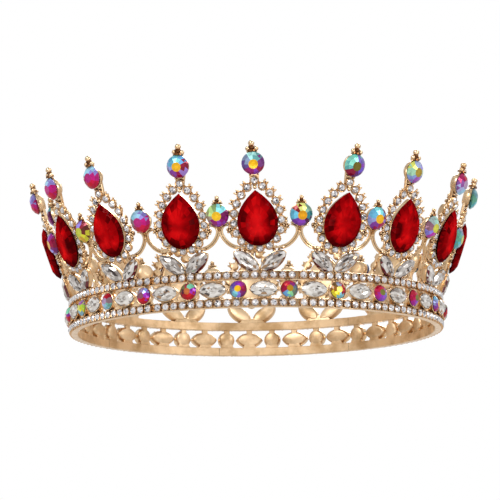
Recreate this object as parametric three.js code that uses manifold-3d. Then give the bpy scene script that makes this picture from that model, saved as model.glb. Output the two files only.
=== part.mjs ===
// A full-round crown for the hair: eight gold castings stand end to end as a ring. Each casting has
// a band of two rails with a row of stone cups between them, and two peaks with two low spires. A
// peak is a pair of leaf cups, a halo round a pear stone's seat, and a crest seat with a finial.
// Forty-eight large glass stones sit on the castings' seats, each a glue line above its seat.
//
// Units are millimetres. +Z is up, and the origin is the middle of the ring on the surface that the
// crown stands on. Angles run round +Z from the front, which is -Y, towards +X.

import * as THREE from "three";
import { mergeVertices } from "three/addons/utils/BufferGeometryUtils.js";
import Module from "manifold-3d";

const wasm = await Module();
wasm.setup();

// ---- Driving dimensions ----

const SECTION_COUNT = 8;
const SECTION_ANGLE = THREE.MathUtils.degToRad(360 / SECTION_COUNT);
const PEAKS_PER_SECTION = 2;
const PEAK_ANGLE = SECTION_ANGLE / PEAKS_PER_SECTION;
const FIRST_SECTION_START = -1.5 * PEAK_ANGLE; // a peak stands at the very front
const SEAM_GAP = 0.35; // between two castings, where the real one has solder
const GLUE_GAP = 0.3; // between a stone and its seat

const BAND_INNER_RADIUS = 72.6;
const BAND_OUTER_RADIUS = 75;
const RAIL_HEIGHT = 3.4;
const UPPER_RAIL_Z = 10.8;
const RAIL_STEPS = 3; // an arc of a Shape is drawn with twice as many

const BAND_CUP_HEIGHT = 6.3;
const BAND_CUP_DEPTH = { back: -1.7, front: 0.8 }; // from the rails' outer face
const BAND_CUP_OVERLAP = 0.2; // how far a band cup or its stem runs into a rail
const BAND_STEM_WIDTH = 1.8; // the stem from a band cup's top to the upper rail
const BAND_NAVETTE_LENGTH = 11.2;
const BAND_ROUND_DIAMETER = 7.2;
const BAND_PAIRS = 3; // a navette and a round, per casting

// The flare's meridian starts at the band's top edge and leans out a little less the higher it goes.
const FLARE_RADIUS = 73.8;
const FLARE_Z = 13.8;
const LEAN_AT_FOOT = THREE.MathUtils.degToRad(20.5);
const LEAN_PER_MM = THREE.MathUtils.degToRad(-0.09);

// Heights along the meridian, from its foot.
const LEAF_HEIGHT = 4.3;
const PEAR_HEIGHT = 21.4;
const CREST_HEIGHT = 43.2;
const SPIRE_HEIGHT = 23.2;
const SWAY_PIVOT_HEIGHT = 10;

const LEAF = { length: 12.6, width: 6.2, side: 5.3, tilt: THREE.MathUtils.degToRad(37) };
const LEAF_DEPTH = { back: -1.0, front: 1.6 };
const LEAF_FOOT = { width: 9, height: 2.2, rise: 0.5 }; // joins the two leaves to the upper rail
const LEAF_TIE = { side: 6.4, width: 2.4, height: 2.4, rise: 8.1 }; // joins a leaf to its scroll
const TIE_DEPTH = { back: -0.6, front: 0.6 };

const PEAR = { halfHeight: 10.75, spread: 9.02 };
const PEAR_SEAT_INSET = 0.5;
const SEAT_FACE = 0.9; // every stone seat's face, above the flare's surface
const PEAR_SEAT_BACK = -0.9;
const PEAR_WEB = { width: 4, height: 6 };
const PEAR_CUT = [
  { scale: 0.9, rise: 0 },
  { scale: 1.0, rise: 0.7 },
  { scale: 0.62, rise: 3.0 },
];

const HALO = { halfHeight: 13.35, spread: 10.8, lift: 1.4, halfWidth: 1.25 };
const HALO_DEPTH = { back: -0.7, front: 1.0 };
const HALO_POINTS = 12;

const ROUND_RADIUS = 4.55; // the crest and spire stones
const ROUND_SEAT_RADIUS = 4.1;
const ROUND_SEAT_BACK = -1.3;
const ROUND_CUT = [
  { scale: 0.88, rise: 0 },
  { scale: 1.0, rise: 0.6 },
  { scale: 0.42, rise: 2.7 },
];

const NECK = { width: 1.6, back: -0.7, front: 0.8 };
const CREST_FINIAL = { width: 1.5, neck: 3.6, bead: 5.2, beadRadius: 1.5, tip: 8.1 };
const SPIRE_FINIAL = { width: 1.3, neck: 3.6, bead: 4.8, beadRadius: 1.2, tip: 6.5 };

const FLORET = { side: 10.9, rise: -3.4, radius: 1.25, back: -0.4, front: 0.9, points: 4 };

// The scroll leaves a leaf's top and rises to the spire. Each place is an offset from the peak's
// middle and a height; the last one lies at the spire's own angle.
const SCROLL_ROUTE = [
  { side: 4.8, height: 9.3 },
  { side: 8.4, height: 9.2 },
  { side: 11.4, height: 10.5 },
  { side: 13.7, height: 13.0 },
];
const SCROLL_TOP_HEIGHT = 17.9;
const SCROLL_RADIUS = 0.75;
const SCROLL_SIDES = 4;
const SCROLL_STEPS = 5;

const CUP_SIDES = 8;
const ROUND_SIDES = 8;
const PEAR_SIDES = 12;
const FINIAL_SIDES = 5;

// How far each peak was bent sideways by hand, in degrees towards its right as seen from outside.
// The first is the front peak, and the others follow round the ring.
const PEAK_SWAY = [-4, 6, -3, -1, 1, 2, -3, 1, -2, 3, -1, 2, 0, 3, -5, 5];

// ---- Solids ----

/** A closed three.js geometry as a manifold solid. */
function solidOf(geometry) {
  geometry.deleteAttribute("normal");
  geometry.deleteAttribute("uv");
  const merged = mergeVertices(geometry, 1e-4);
  return new wasm.Manifold(
    new wasm.Mesh({
      numProp: 3,
      vertProperties: new Float32Array(merged.attributes.position.array),
      triVerts: new Uint32Array(merged.index.array),
    }),
  );
}

/** A manifold solid as a three.js geometry with flat shading. */
function geometryOf(solid) {
  const mesh = solid.getMesh();
  const geometry = new THREE.BufferGeometry();
  geometry.setAttribute("position", new THREE.BufferAttribute(mesh.vertProperties, 3));
  geometry.setIndex(new THREE.BufferAttribute(mesh.triVerts, 1));
  const flat = geometry.toNonIndexed();
  flat.computeVertexNormals();
  return flat;
}

/** Joins placed geometries into one solid. */
function unite(geometries) {
  return geometries.map(solidOf).reduce((whole, piece) => whole.add(piece));
}

/** Stacks scaled copies of an outline along +Z, lowest first, and closes both ends. */
function stackOutlines(outline, levels) {
  const count = outline.length;
  const positions = levels.flatMap(({ scale, rise }) =>
    outline.flatMap((point) => [point.x * scale, point.y * scale, rise]),
  );
  const triangles = [];
  for (let level = 0; level < levels.length - 1; level++) {
    for (let i = 0; i < count; i++) {
      const [a, b] = [level * count + i, level * count + ((i + 1) % count)];
      triangles.push(a, b, b + count, a, b + count, a + count);
    }
  }
  const top = (levels.length - 1) * count;
  for (let i = 1; i < count - 1; i++) {
    triangles.push(0, i + 1, i, top, top + i, top + i + 1);
  }
  const geometry = new THREE.BufferGeometry();
  geometry.setAttribute("position", new THREE.Float32BufferAttribute(positions, 3));
  geometry.setIndex(triangles);
  return geometry;
}

/** A flat plate of one outline between two depths. */
function plate(outline, { back, front }) {
  return stackOutlines(outline, [
    { scale: 1, rise: back },
    { scale: 1, rise: front },
  ]);
}

// ---- Outlines, counterclockwise as seen from outside the crown ----

/** A regular polygon that stands for a circle. */
function circleOutline(radius, sides = ROUND_SIDES) {
  return Array.from({ length: sides }, (_, i) => {
    const turn = (2 * Math.PI * i) / sides;
    return new THREE.Vector2(radius * Math.cos(turn), radius * Math.sin(turn));
  });
}

/** A navette: two arcs that meet at points at its left and right ends. */
function navetteOutline(length, width, sides = CUP_SIDES) {
  const half = sides / 2;
  return Array.from({ length: sides }, (_, i) => {
    const side = i < half ? 1 : -1;
    const along = Math.cos((Math.PI * (i % half)) / half);
    return new THREE.Vector2((side * along * length) / 2, (side * (1 - along * along) * width) / 2);
  });
}

/** A pear: x = spread sin t sqrt(sin(t / 2)), y = half height cos t, with its point at the top. */
function pearOutline({ halfHeight, spread }, sides = PEAR_SIDES) {
  return Array.from({ length: sides }, (_, i) => {
    const t = (2 * Math.PI * i) / sides;
    const x = -spread * Math.sin(t) * Math.sqrt(Math.abs(Math.sin(t / 2)));
    return new THREE.Vector2(x, halfHeight * Math.cos(t));
  });
}

// ---- Places on the band and on the flare ----

/** Radius, height and lean of the flare's meridian at a distance along it. */
function meridian(height) {
  const lean = LEAN_AT_FOOT + LEAN_PER_MM * height;
  return {
    lean,
    radius: FLARE_RADIUS + (Math.cos(LEAN_AT_FOOT) - Math.cos(lean)) / LEAN_PER_MM,
    z: FLARE_Z + (Math.sin(lean) - Math.sin(LEAN_AT_FOOT)) / LEAN_PER_MM,
  };
}

/** A frame at an angle: x runs to the right, y up the leaning surface, and z out of it. */
function frameAt(angle, radius, z, lean) {
  const right = new THREE.Vector3(Math.cos(angle), Math.sin(angle), 0);
  const outward = new THREE.Vector3(Math.sin(angle), -Math.cos(angle), 0);
  const up = outward.clone().multiplyScalar(Math.sin(lean));
  up.z = Math.cos(lean);
  const place = outward.multiplyScalar(radius);
  place.z = z;
  const normal = new THREE.Vector3().crossVectors(right, up);
  return new THREE.Matrix4().makeBasis(right, up, normal).setPosition(place);
}

/** The frame on the flare at an offset to the right of an angle, turned in its own plane. */
function onFlare(angle, side, height, turn = 0) {
  const { radius, z, lean } = meridian(height);
  const frame = frameAt(angle + side / radius, radius, z, lean);
  return frame.multiply(new THREE.Matrix4().makeRotationZ(turn));
}

/** The frame at a height on a peak that leans sideways by its sway. */
function onPeak(angle, sway, height) {
  const above = height - SWAY_PIVOT_HEIGHT;
  return onFlare(
    angle,
    Math.sin(sway) * above,
    SWAY_PIVOT_HEIGHT + Math.cos(sway) * above,
    -sway,
  );
}

// ---- Pieces of a casting ----

/** A rail: a bar that follows the band for one casting, less half a seam at each end. */
function rail(z) {
  const trim = SEAM_GAP / 2 / BAND_INNER_RADIUS;
  const start = trim - Math.PI / 2;
  const end = SECTION_ANGLE - trim - Math.PI / 2;
  const shape = new THREE.Shape();
  shape.absarc(0, 0, BAND_OUTER_RADIUS, start, end, false);
  shape.absarc(0, 0, BAND_INNER_RADIUS, end, start, true);
  const options = { depth: RAIL_HEIGHT, bevelEnabled: false, curveSegments: RAIL_STEPS };
  return new THREE.ExtrudeGeometry(shape, options).translate(0, 0, z);
}


/** The band's cups, alternately navette and round, on the lower rail, each with a stem above. */
function bandRow() {
  const pairAngle = SECTION_ANGLE / BAND_PAIRS;
  const navetteAngle = BAND_NAVETTE_LENGTH / BAND_OUTER_RADIUS;
  const roundAngle = BAND_ROUND_DIAMETER / BAND_OUTER_RADIUS;
  const spare = pairAngle - navetteAngle - roundAngle;
  const navette = navetteOutline(BAND_NAVETTE_LENGTH, BAND_CUP_HEIGHT);
  const round = circleOutline(BAND_CUP_HEIGHT / 2);
  const cups = [];
  for (let pair = 0; pair < BAND_PAIRS; pair++) {
    const start = pairAngle * pair;
    cups.push([navette, start + (spare + navetteAngle) / 2]);
    cups.push([round, start + pairAngle - roundAngle / 2]);
  }
  const centreZ = RAIL_HEIGHT - BAND_CUP_OVERLAP + BAND_CUP_HEIGHT / 2;
  const stemFoot = BAND_CUP_HEIGHT / 2 - BAND_CUP_OVERLAP;
  const stemTop = UPPER_RAIL_Z + BAND_CUP_OVERLAP - centreZ;
  return cups.flatMap(([outline, angle]) => {
    const depth = TIE_DEPTH.front - TIE_DEPTH.back;
    const stem = new THREE.BoxGeometry(BAND_STEM_WIDTH, stemTop - stemFoot, depth);
    stem.translate(0, (stemTop + stemFoot) / 2, BAND_CUP_DEPTH.back + depth / 2 + BAND_CUP_OVERLAP);
    const frame = frameAt(angle, BAND_OUTER_RADIUS, centreZ, 0);
    return [plate(outline, BAND_CUP_DEPTH), stem].map((piece) => piece.applyMatrix4(frame));
  });
}

/** A block in a frame's own plane, as deep as the ties are. */
function tie(width, height, x, y) {
  const block = new THREE.BoxGeometry(width, height, TIE_DEPTH.front - TIE_DEPTH.back);
  return block.translate(x, y, (TIE_DEPTH.front + TIE_DEPTH.back) / 2);
}

/** The two leaf cups at a peak's foot, like a V, with their foot and their ties. */
function leafPair(angle) {
  const outline = navetteOutline(LEAF.length, LEAF.width);
  const leaves = [-1, 1].flatMap((hand) => [
    plate(outline, LEAF_DEPTH).rotateZ(hand * LEAF.tilt).translate(hand * LEAF.side, 0, 0),
    tie(LEAF_TIE.width, LEAF_TIE.height, hand * LEAF_TIE.side, LEAF_TIE.rise - LEAF_HEIGHT),
  ]);
  const foot = tie(LEAF_FOOT.width, LEAF_FOOT.height, 0, LEAF_FOOT.rise - LEAF_HEIGHT);
  return [...leaves, foot].map((piece) => piece.applyMatrix4(onFlare(angle, 0, LEAF_HEIGHT)));
}

/** The halo: a pear-shaped ring that carries the small stones round the pear. */
function halo() {
  const grown = (by) => {
    const outline = pearOutline(
      { halfHeight: HALO.halfHeight + by, spread: HALO.spread + by },
      HALO_POINTS,
    );
    return outline.map((point) => point.setY(point.y + HALO.lift));
  };
  const shape = new THREE.Shape(grown(HALO.halfWidth));
  shape.holes.push(new THREE.Path(grown(-HALO.halfWidth).reverse()));
  const depth = HALO_DEPTH.front - HALO_DEPTH.back;
  const options = { depth, bevelEnabled: false };
  return new THREE.ExtrudeGeometry(shape, options).translate(0, 0, HALO_DEPTH.back);
}

/** The seat under a pear stone, with a web down to the halo's foot. */
function pearSeat() {
  const seat = {
    halfHeight: PEAR.halfHeight - PEAR_SEAT_INSET,
    spread: PEAR.spread - PEAR_SEAT_INSET,
  };
  const webMiddle = HALO.lift - HALO.halfHeight + PEAR_WEB.height / 2;
  return [
    plate(pearOutline(seat), { back: PEAR_SEAT_BACK, front: SEAT_FACE }),
    tie(PEAR_WEB.width, PEAR_WEB.height, 0, webMiddle),
  ];
}

/** A floret on each side of the halo. */
function florets() {
  const outline = circleOutline(FLORET.radius, FLORET.points);
  return [-1, 1].map((hand) => plate(outline, FLORET).translate(hand * FLORET.side, FLORET.rise, 0));
}

/** A turned point with one bead, which stands on the top of a round stone's seat. */
function finial({ width, neck: neckHeight, bead, beadRadius, tip }) {
  const profile = [
    new THREE.Vector2(0, neckHeight),
    new THREE.Vector2(width / 2, neckHeight),
    new THREE.Vector2(beadRadius, bead),
    new THREE.Vector2(0, tip),
  ];
  return new THREE.LatheGeometry(profile, FINIAL_SIDES);
}

/** The round seat of a crest or spire stone, with its finial. */
function roundSeat(finialSize) {
  return [
    plate(circleOutline(ROUND_SEAT_RADIUS), { back: ROUND_SEAT_BACK, front: SEAT_FACE }),
    finial(finialSize),
  ];
}

/** An upright bar in a seat's own plane, from one height to another. */
function neck(from, to) {
  const depth = NECK.front - NECK.back;
  const bar = new THREE.BoxGeometry(NECK.width, to - from, depth);
  return bar.translate(0, (from + to) / 2, (NECK.front + NECK.back) / 2);
}

/** A wire from a leaf's top to the spire on one side of a peak, stopping short of it by a gap. */
function scroll(angle, hand, shortBy) {
  const top = meridian(SCROLL_TOP_HEIGHT);
  const places = SCROLL_ROUTE.map(({ side, height }) => ({ side, height }));
  places.push({ side: (top.radius * PEAK_ANGLE) / 2 - shortBy, height: SCROLL_TOP_HEIGHT });
  const points = places.map(({ side, height }) =>
    new THREE.Vector3().setFromMatrixPosition(onFlare(angle, hand * side, height)),
  );
  return new THREE.ExtrudeGeometry(new THREE.Shape(circleOutline(SCROLL_RADIUS, SCROLL_SIDES)), {
    steps: SCROLL_STEPS,
    bevelEnabled: false,
    extrudePath: new THREE.CatmullRomCurve3(points),
  });
}

/** One peak's metal: leaves, halo, pear seat, florets, neck and crest. */
function peak(angle, sway) {
  const pearFrame = onPeak(angle, sway, PEAR_HEIGHT);
  const crestFrame = onPeak(angle, sway, CREST_HEIGHT);
  const haloTop = PEAR_HEIGHT + HALO.lift + HALO.halfHeight - CREST_HEIGHT;
  return [
    ...leafPair(angle),
    ...[halo(), ...pearSeat(), ...florets()].map((piece) => piece.applyMatrix4(pearFrame)),
    ...[neck(haloTop, 0), ...roundSeat(CREST_FINIAL)].map((piece) =>
      piece.applyMatrix4(crestFrame),
    ),
  ];
}

/** One low spire's metal: its seat, finial and the stem where the scrolls meet. */
function spire(angle) {
  const frame = onFlare(angle, 0, SPIRE_HEIGHT);
  const stemFoot = SCROLL_TOP_HEIGHT - SPIRE_HEIGHT - 1.6;
  return [neck(stemFoot, 0), ...roundSeat(SPIRE_FINIAL)].map((piece) => piece.applyMatrix4(frame));
}

// ---- The casting and its stones, in a section's own frame ----

/** Angles of a section's peaks, and of its spires, the last of which stands on the next seam. */
const peakAngles = Array.from(
  { length: PEAKS_PER_SECTION },
  (_, i) => (i + 0.5) * PEAK_ANGLE,
);
const spireAngles = Array.from({ length: PEAKS_PER_SECTION }, (_, i) => (i + 1) * PEAK_ANGLE);

/** One casting, as a single solid. */
function casting(sways) {
  const seamClearance = NECK.width / 2 + SCROLL_RADIUS + SEAM_GAP;
  const scrolls = peakAngles.flatMap((angle, i) => [
    scroll(angle, -1, i === 0 ? seamClearance : 0),
    scroll(angle, 1, 0),
  ]);
  return geometryOf(
    unite([
      rail(0),
      rail(UPPER_RAIL_Z),
      ...bandRow(),
      ...peakAngles.flatMap((angle, i) => peak(angle, sways[i])),
      ...spireAngles.flatMap(spire),
      ...scrolls,
    ]),
  );
}

const goldFinish = new THREE.MeshStandardMaterial({
  color: 0xdcb077,
  roughness: 0.28,
  metalness: 1,
});
const redGlass = new THREE.MeshStandardMaterial({ color: 0xb4060c, roughness: 0.08, metalness: 0.2 });
const iridescentGlass = new THREE.MeshStandardMaterial({
  color: 0xc060b0,
  roughness: 0.06,
  metalness: 0.4,
});

/** A named mesh placed by a frame. */
function placed(name, geometry, material, frame) {
  const mesh = new THREE.Mesh(geometry, material);
  mesh.name = name;
  frame.decompose(mesh.position, mesh.quaternion, mesh.scale);
  return mesh;
}

/** Lifts a seat's frame to where its stone's back lies. */
function stoneFrame(seatFrame) {
  return seatFrame.multiply(new THREE.Matrix4().makeTranslation(0, 0, SEAT_FACE + GLUE_GAP));
}

const pearStone = stackOutlines(pearOutline(PEAR), PEAR_CUT);
const roundStone = stackOutlines(circleOutline(ROUND_RADIUS), ROUND_CUT);

/** A casting with the stones that sit on it. */
function section(index) {
  const group = new THREE.Group();
  group.rotation.z = FIRST_SECTION_START + index * SECTION_ANGLE;
  const peakCount = SECTION_COUNT * PEAKS_PER_SECTION;
  const firstPeak = index * PEAKS_PER_SECTION - 1; // the first section's second peak is the front one
  const peakNumbers = peakAngles.map((_, i) => (firstPeak + i + peakCount) % peakCount);
  const sways = peakNumbers.map((number) => THREE.MathUtils.degToRad(PEAK_SWAY[number]));
  const castingFrame = new THREE.Matrix4();
  group.add(placed(`casting_${index + 1}`, casting(sways), goldFinish, castingFrame));
  peakNumbers.forEach((number, i) => {
    const label = String(number + 1).padStart(2, "0");
    const pearPlace = stoneFrame(onPeak(peakAngles[i], sways[i], PEAR_HEIGHT));
    const crestPlace = stoneFrame(onPeak(peakAngles[i], sways[i], CREST_HEIGHT));
    const spirePlace = stoneFrame(onFlare(spireAngles[i], 0, SPIRE_HEIGHT));
    group.add(
      placed(`pear_stone_${label}`, pearStone, redGlass, pearPlace),
      placed(`crest_stone_${label}`, roundStone, iridescentGlass, crestPlace),
      placed(`spire_stone_${label}`, roundStone, iridescentGlass, spirePlace),
    );
  });
  return group;
}

const crown = new THREE.Group();
for (let index = 0; index < SECTION_COUNT; index++) crown.add(section(index));

export default crown;
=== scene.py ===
"""A full-round costume crown: eight gilt castings in a ring, and the stones that they carry.

Lengths are in millimetres until a mesh is written, which is in metres. +Z is up and -Y is the front.
Angles run round +Z from the front towards +X, and a peak's sway is positive to its right, as seen
from outside. Every shape is worked out in a flat frame of its own, with x to the right, y up the
surface and z out of it, and is then laid on the band or on the flare above it.
"""

from __future__ import annotations

import logging
import math
from dataclasses import dataclass, field
from enum import Enum

import bpy
import numpy as np
from mathutils import Euler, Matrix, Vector

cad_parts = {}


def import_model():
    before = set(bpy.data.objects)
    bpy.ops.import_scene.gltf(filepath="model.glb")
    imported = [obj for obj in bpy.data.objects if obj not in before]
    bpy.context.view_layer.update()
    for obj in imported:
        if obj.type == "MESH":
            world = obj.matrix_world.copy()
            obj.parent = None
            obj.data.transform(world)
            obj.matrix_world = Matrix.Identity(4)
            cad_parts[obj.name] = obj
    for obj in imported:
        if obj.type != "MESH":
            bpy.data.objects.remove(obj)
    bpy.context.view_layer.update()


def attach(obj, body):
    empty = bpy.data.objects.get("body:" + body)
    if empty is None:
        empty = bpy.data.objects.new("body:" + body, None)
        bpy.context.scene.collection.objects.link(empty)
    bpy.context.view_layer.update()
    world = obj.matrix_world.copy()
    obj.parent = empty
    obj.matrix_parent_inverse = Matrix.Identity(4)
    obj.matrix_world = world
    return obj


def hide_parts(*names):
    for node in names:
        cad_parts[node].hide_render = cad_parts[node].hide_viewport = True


LOG = logging.getLogger("crown")
MM = 0.001
TAU = 2 * math.pi
SEED = 41
# The standard deviation of a rhinestone's tilt in its cup, in degrees.
RHINESTONE_TILT = 5.0
Array = np.ndarray


# ---- Small mathematics ----


def unit(vectors: Array) -> Array:
    """Scales each vector to length one."""
    return vectors / np.linalg.norm(vectors, axis=-1, keepdims=True)


def linear(colours: Array | tuple) -> Array:
    """Turns display colours from 0 to 255 into linear light: ((c + 0.055) / 1.055) to the power 2.4."""
    share = np.asarray(colours, float) / 255
    return np.where(share <= 0.04045, share / 12.92, ((share + 0.055) / 1.055) ** 2.4)


def spun(degrees: Array | float) -> Array:
    """Matrices that turn their frame about its own z axis.

    Args:
        degrees: One angle or an array of them.

    Returns:
        One 4 x 4 matrix, or a stack of them.
    """
    turn = np.radians(np.asarray(degrees, float))
    frames = np.zeros(turn.shape + (4, 4))
    frames[..., 0, 0] = frames[..., 1, 1] = np.cos(turn)
    frames[..., 1, 0] = np.sin(turn)
    frames[..., 0, 1] = -np.sin(turn)
    frames[..., 2, 2] = frames[..., 3, 3] = 1
    return frames


def shifted(x: Array | float, y: Array | float, z: Array | float = 0.0) -> Array:
    """Matrices that move their frame by (x, y, z).

    Args:
        x, y, z: Numbers or arrays of one length, in millimetres.

    Returns:
        One 4 x 4 matrix, or a stack of them.
    """
    x, y, z = np.broadcast_arrays(*(np.asarray(value, float) for value in (x, y, z)))
    frames = np.zeros(x.shape + (4, 4))
    frames[..., range(4), range(4)] = 1
    frames[..., 0, 3], frames[..., 1, 3], frames[..., 2, 3] = x, y, z
    return frames


def tilted(rng: np.random.Generator, count: int, most: float) -> Array:
    """Small random tilts, as if each stone had been pressed in by hand.

    Args:
        rng: The source of the tilts.
        count: How many frames.
        most: Standard deviation of the tilt about x and about y, in degrees.

    Returns:
        A stack of 4 x 4 matrices.
    """
    about_x, about_y = np.radians(rng.normal(0, most, (2, count)))
    frames = shifted(np.zeros(count), 0.0)
    frames[:, 2, 1], frames[:, 1, 2] = about_x, -about_x
    frames[:, 0, 2], frames[:, 2, 0] = about_y, -about_y
    return frames


# ---- Surfaces ----

# Tints that multiply the gold's colour: none, then painted shade of three strengths, on the stones' cups,
# in deep parts and in the deepest hollows.
PLAIN = np.ones(3)
CUP_SHADE = (0.86, 0.72, 0.58)
DEEP_SHADE = (0.52, 0.36, 0.22)
HOLLOW_SHADE = (0.3, 0.17, 0.1)


@dataclass
class Surface:
    """Faces over a list of points, in millimetres.

    A block holds faces of one size, and their tints: one for each face, or one for each corner.
    """

    points: Array
    blocks: list[tuple[Array, Array]]

    def placed(self, frames: Array) -> Surface:
        """Copies of this surface, one in each frame: point' = rotation x point + place.

        Args:
            frames: A 4 x 4 matrix or a stack of them.

        Returns:
            One surface that holds every copy.
        """
        frames = np.asarray(frames, float).reshape(-1, 4, 4)
        size = len(self.points)
        points = np.einsum("kij,nj->kni", frames[:, :3, :3], self.points) + frames[:, None, :3, 3]
        steps = (np.arange(len(frames)) * size)[:, None, None]
        blocks = [
            ((faces[None] + steps).reshape(-1, faces.shape[1]), np.tile(tints, (len(frames), 1)))
            for faces, tints in self.blocks
        ]
        return Surface(points.reshape(-1, 3), blocks)

    def with_painted_shade(self, tint: tuple[float, float, float]) -> Surface:
        """The same surface with its tints multiplied by a colour, which paints shade into it."""
        return Surface(self.points, [(faces, tints * np.asarray(tint)) for faces, tints in self.blocks])

    @staticmethod
    def joined(parts: list[Surface]) -> Surface:
        """Puts several surfaces into one list of points.

        Args:
            parts: The surfaces.

        Returns:
            One surface.
        """
        starts = np.cumsum([0] + [len(part.points) for part in parts])
        blocks = [
            (faces + start, tints)
            for part, start in zip(parts, starts)
            for faces, tints in part.blocks
        ]
        return Surface(np.concatenate([part.points for part in parts]), blocks)


def woven(grid: Array, closed_rows: bool = False) -> Surface:
    """Weaves a grid of points into quads. Columns run round the shape and close on themselves.

    Args:
        grid: Points as rows x columns x 3, rows along the shape.
        closed_rows: True where the last row meets the first. Otherwise a face closes each end.

    Returns:
        A closed surface.
    """
    rows, columns = grid.shape[:2]
    row = np.arange(rows if closed_rows else rows - 1)[:, None]
    column = np.arange(columns)[None]
    beside, above = (column + 1) % columns, (row + 1) % rows
    corners = (
        row * columns + column,
        row * columns + beside,
        above * columns + beside,
        above * columns + column,
    )
    quads = np.stack(np.broadcast_arrays(*corners), axis=-1).reshape(-1, 4)
    faces = [quads]
    if not closed_rows:
        rim = np.arange(columns)[None]
        faces += [rim[:, ::-1], rim + (rows - 1) * columns]
    return Surface(grid.reshape(-1, 3), [(block, np.tile(PLAIN, (len(block), 1))) for block in faces])


def turned(profile: Array | list, sides: int, closed: bool = False) -> Surface:
    """Spins a profile about z: point = (radius cos a, radius sin a, height).

    Args:
        profile: Pairs of radius and height, lowest first on the outside.
        sides: Faces round the axis.
        closed: True where the profile is a loop, as of a ring.

    Returns:
        A closed surface.
    """
    radius, height = np.asarray(profile, float).T[:, :, None]
    angle = TAU * np.arange(sides)[None] / sides
    grid = np.stack(np.broadcast_arrays(radius * np.cos(angle), radius * np.sin(angle), height), -1)
    return woven(grid, closed_rows=closed)


def lofted(outline: Array, levels: list[tuple[float, float]]) -> Surface:
    """Stacks an outline in levels. At each level it is drawn in towards its middle by an inset.

    Args:
        outline: Points x 2, counterclockwise.
        levels: Pairs of inset and height, the back first.

    Returns:
        A closed surface. Point = outline x (1 - inset / half size), at the level's height.
    """
    inset, height = np.asarray(levels, float).T
    half = np.abs(outline).max(axis=0)
    scale = 1 - inset[:, None] / half[None]
    flat = outline[None] * scale[:, None]
    rise = np.broadcast_to(height[:, None, None], flat.shape[:2] + (1,))
    return woven(np.concatenate([flat, rise], axis=-1))


def carried(
    profile: Array, path: Array, outward: Array, girth: Array | float = 1.0, closed: bool = False
) -> Surface:
    """Carries a profile along a path: point = path + girth (x across + y lift).

    Across is at right angles to the path within the surface, and lift stands out of the surface.

    Args:
        profile: Points x 2, counterclockwise as seen against the path's direction.
        path: Points x 3.
        outward: The surface's outward direction, one for all or one for each point of the path.
        girth: The profile's scale, one for all or one for each point of the path.
        closed: True where the path is a loop.

    Returns:
        A closed surface.
    """
    if closed:
        along = unit(np.roll(path, -1, axis=0) - np.roll(path, 1, axis=0))
    else:
        along = unit(np.gradient(path, axis=0))
    across = unit(np.cross(np.broadcast_to(outward, path.shape), along))
    lift = np.cross(along, across)
    size = np.broadcast_to(girth, len(path))[:, None, None]
    flat = profile[None, :, :1] * across[:, None] + profile[None, :, 1:] * lift[:, None]
    return woven(path[:, None] + size * flat, closed_rows=closed)


def circle(radius: float, sides: int) -> Array:
    """Points on a circle, counterclockwise, as sides x 2."""
    angle = TAU * np.arange(sides) / sides
    return radius * np.stack([np.cos(angle), np.sin(angle)], axis=-1)


def bead(radius: float, sides: int = 6, rings: int = 4) -> Surface:
    """A ball without its very poles: radius cos b, radius sin b, with b from -75 to 75 degrees.

    Args:
        radius: The ball's radius.
        sides: Faces round it.
        rings: Circles of points from end to end.

    Returns:
        A closed surface.
    """
    slope = np.radians(np.linspace(-75, 75, rings))
    return turned(radius * np.stack([np.cos(slope), np.sin(slope)], axis=-1), sides)


def beads(places: list[tuple[float, float, float, float]], sides: int = 7) -> Surface:
    """Balls at several places.

    Args:
        places: For each ball its x, y, z and radius.
        sides: Faces round each ball.

    Returns:
        One surface.
    """
    x, y, z, radius = np.asarray(places, float).T
    frames = shifted(x, y, z)
    frames[:, :3, :3] *= radius[:, None, None]
    return bead(1.0, sides, 5).placed(frames)


def plank(corners: list[tuple[float, float]], back: float, front: float) -> Surface:
    """A flat plate of any convex outline between two depths, with its front edge eased.

    Args:
        corners: The outline, counterclockwise.
        back: Depth of its back.
        front: Depth of its front.

    Returns:
        A closed surface.
    """
    ease = 0.18
    levels = [(ease, back), (0, back + ease), (0, front - ease), (ease, front)]
    return lofted(np.asarray(corners, float), levels)


# ---- Outlines of stones, counterclockwise, the first point on the right or at the tip ----


def navette(length: float, width: float, count: int) -> Array:
    """A pointed oval: x = half length cos a, y = half width sin a |sin a| to the power 0.3.

    Args:
        length: From point to point.
        width: Across the middle.
        count: Points round it.

    Returns:
        Points x 2.
    """
    angle = TAU * np.arange(count) / count
    bulge = np.sin(angle) * np.abs(np.sin(angle)) ** 0.3
    return np.stack([length / 2 * np.cos(angle), width / 2 * bulge], axis=-1)


def pear(half_width: float, below: float, above: float, power: float, count: int) -> Array:
    """A drop with its tip up, its points at equal steps round it.

    Below y = 0 it is half an ellipse. Above, its half width is the greatest one times
    1 - (y / above) to a power.

    Args:
        half_width: The greatest half width, at y = 0.
        below: Depth of the ellipse.
        above: Height of the tip.
        power: How full the shoulders are.
        count: Points round it, the first at the tip.

    Returns:
        Points x 2.
    """
    fine = 400
    rise = above * np.linspace(1, 0, fine, endpoint=False)
    shoulder = np.stack([-half_width * (1 - (rise / above) ** power), rise], axis=-1)
    turn = np.linspace(math.pi, 1.5 * math.pi, fine)
    bowl = np.stack([half_width * np.cos(turn), below * np.sin(turn)], axis=-1)
    left = np.concatenate([shoulder, bowl])
    right = left[-2:0:-1] * (-1, 1)
    loop = np.concatenate([left, right, left[:1]])
    walked = np.concatenate([[0], np.cumsum(np.linalg.norm(np.diff(loop, axis=0), axis=1))])
    stops = walked[-1] * np.arange(count) / count
    return np.stack([np.interp(stops, walked, loop[:, i]) for i in range(2)], axis=-1)


# ---- The ring that everything is laid on ----


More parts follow.
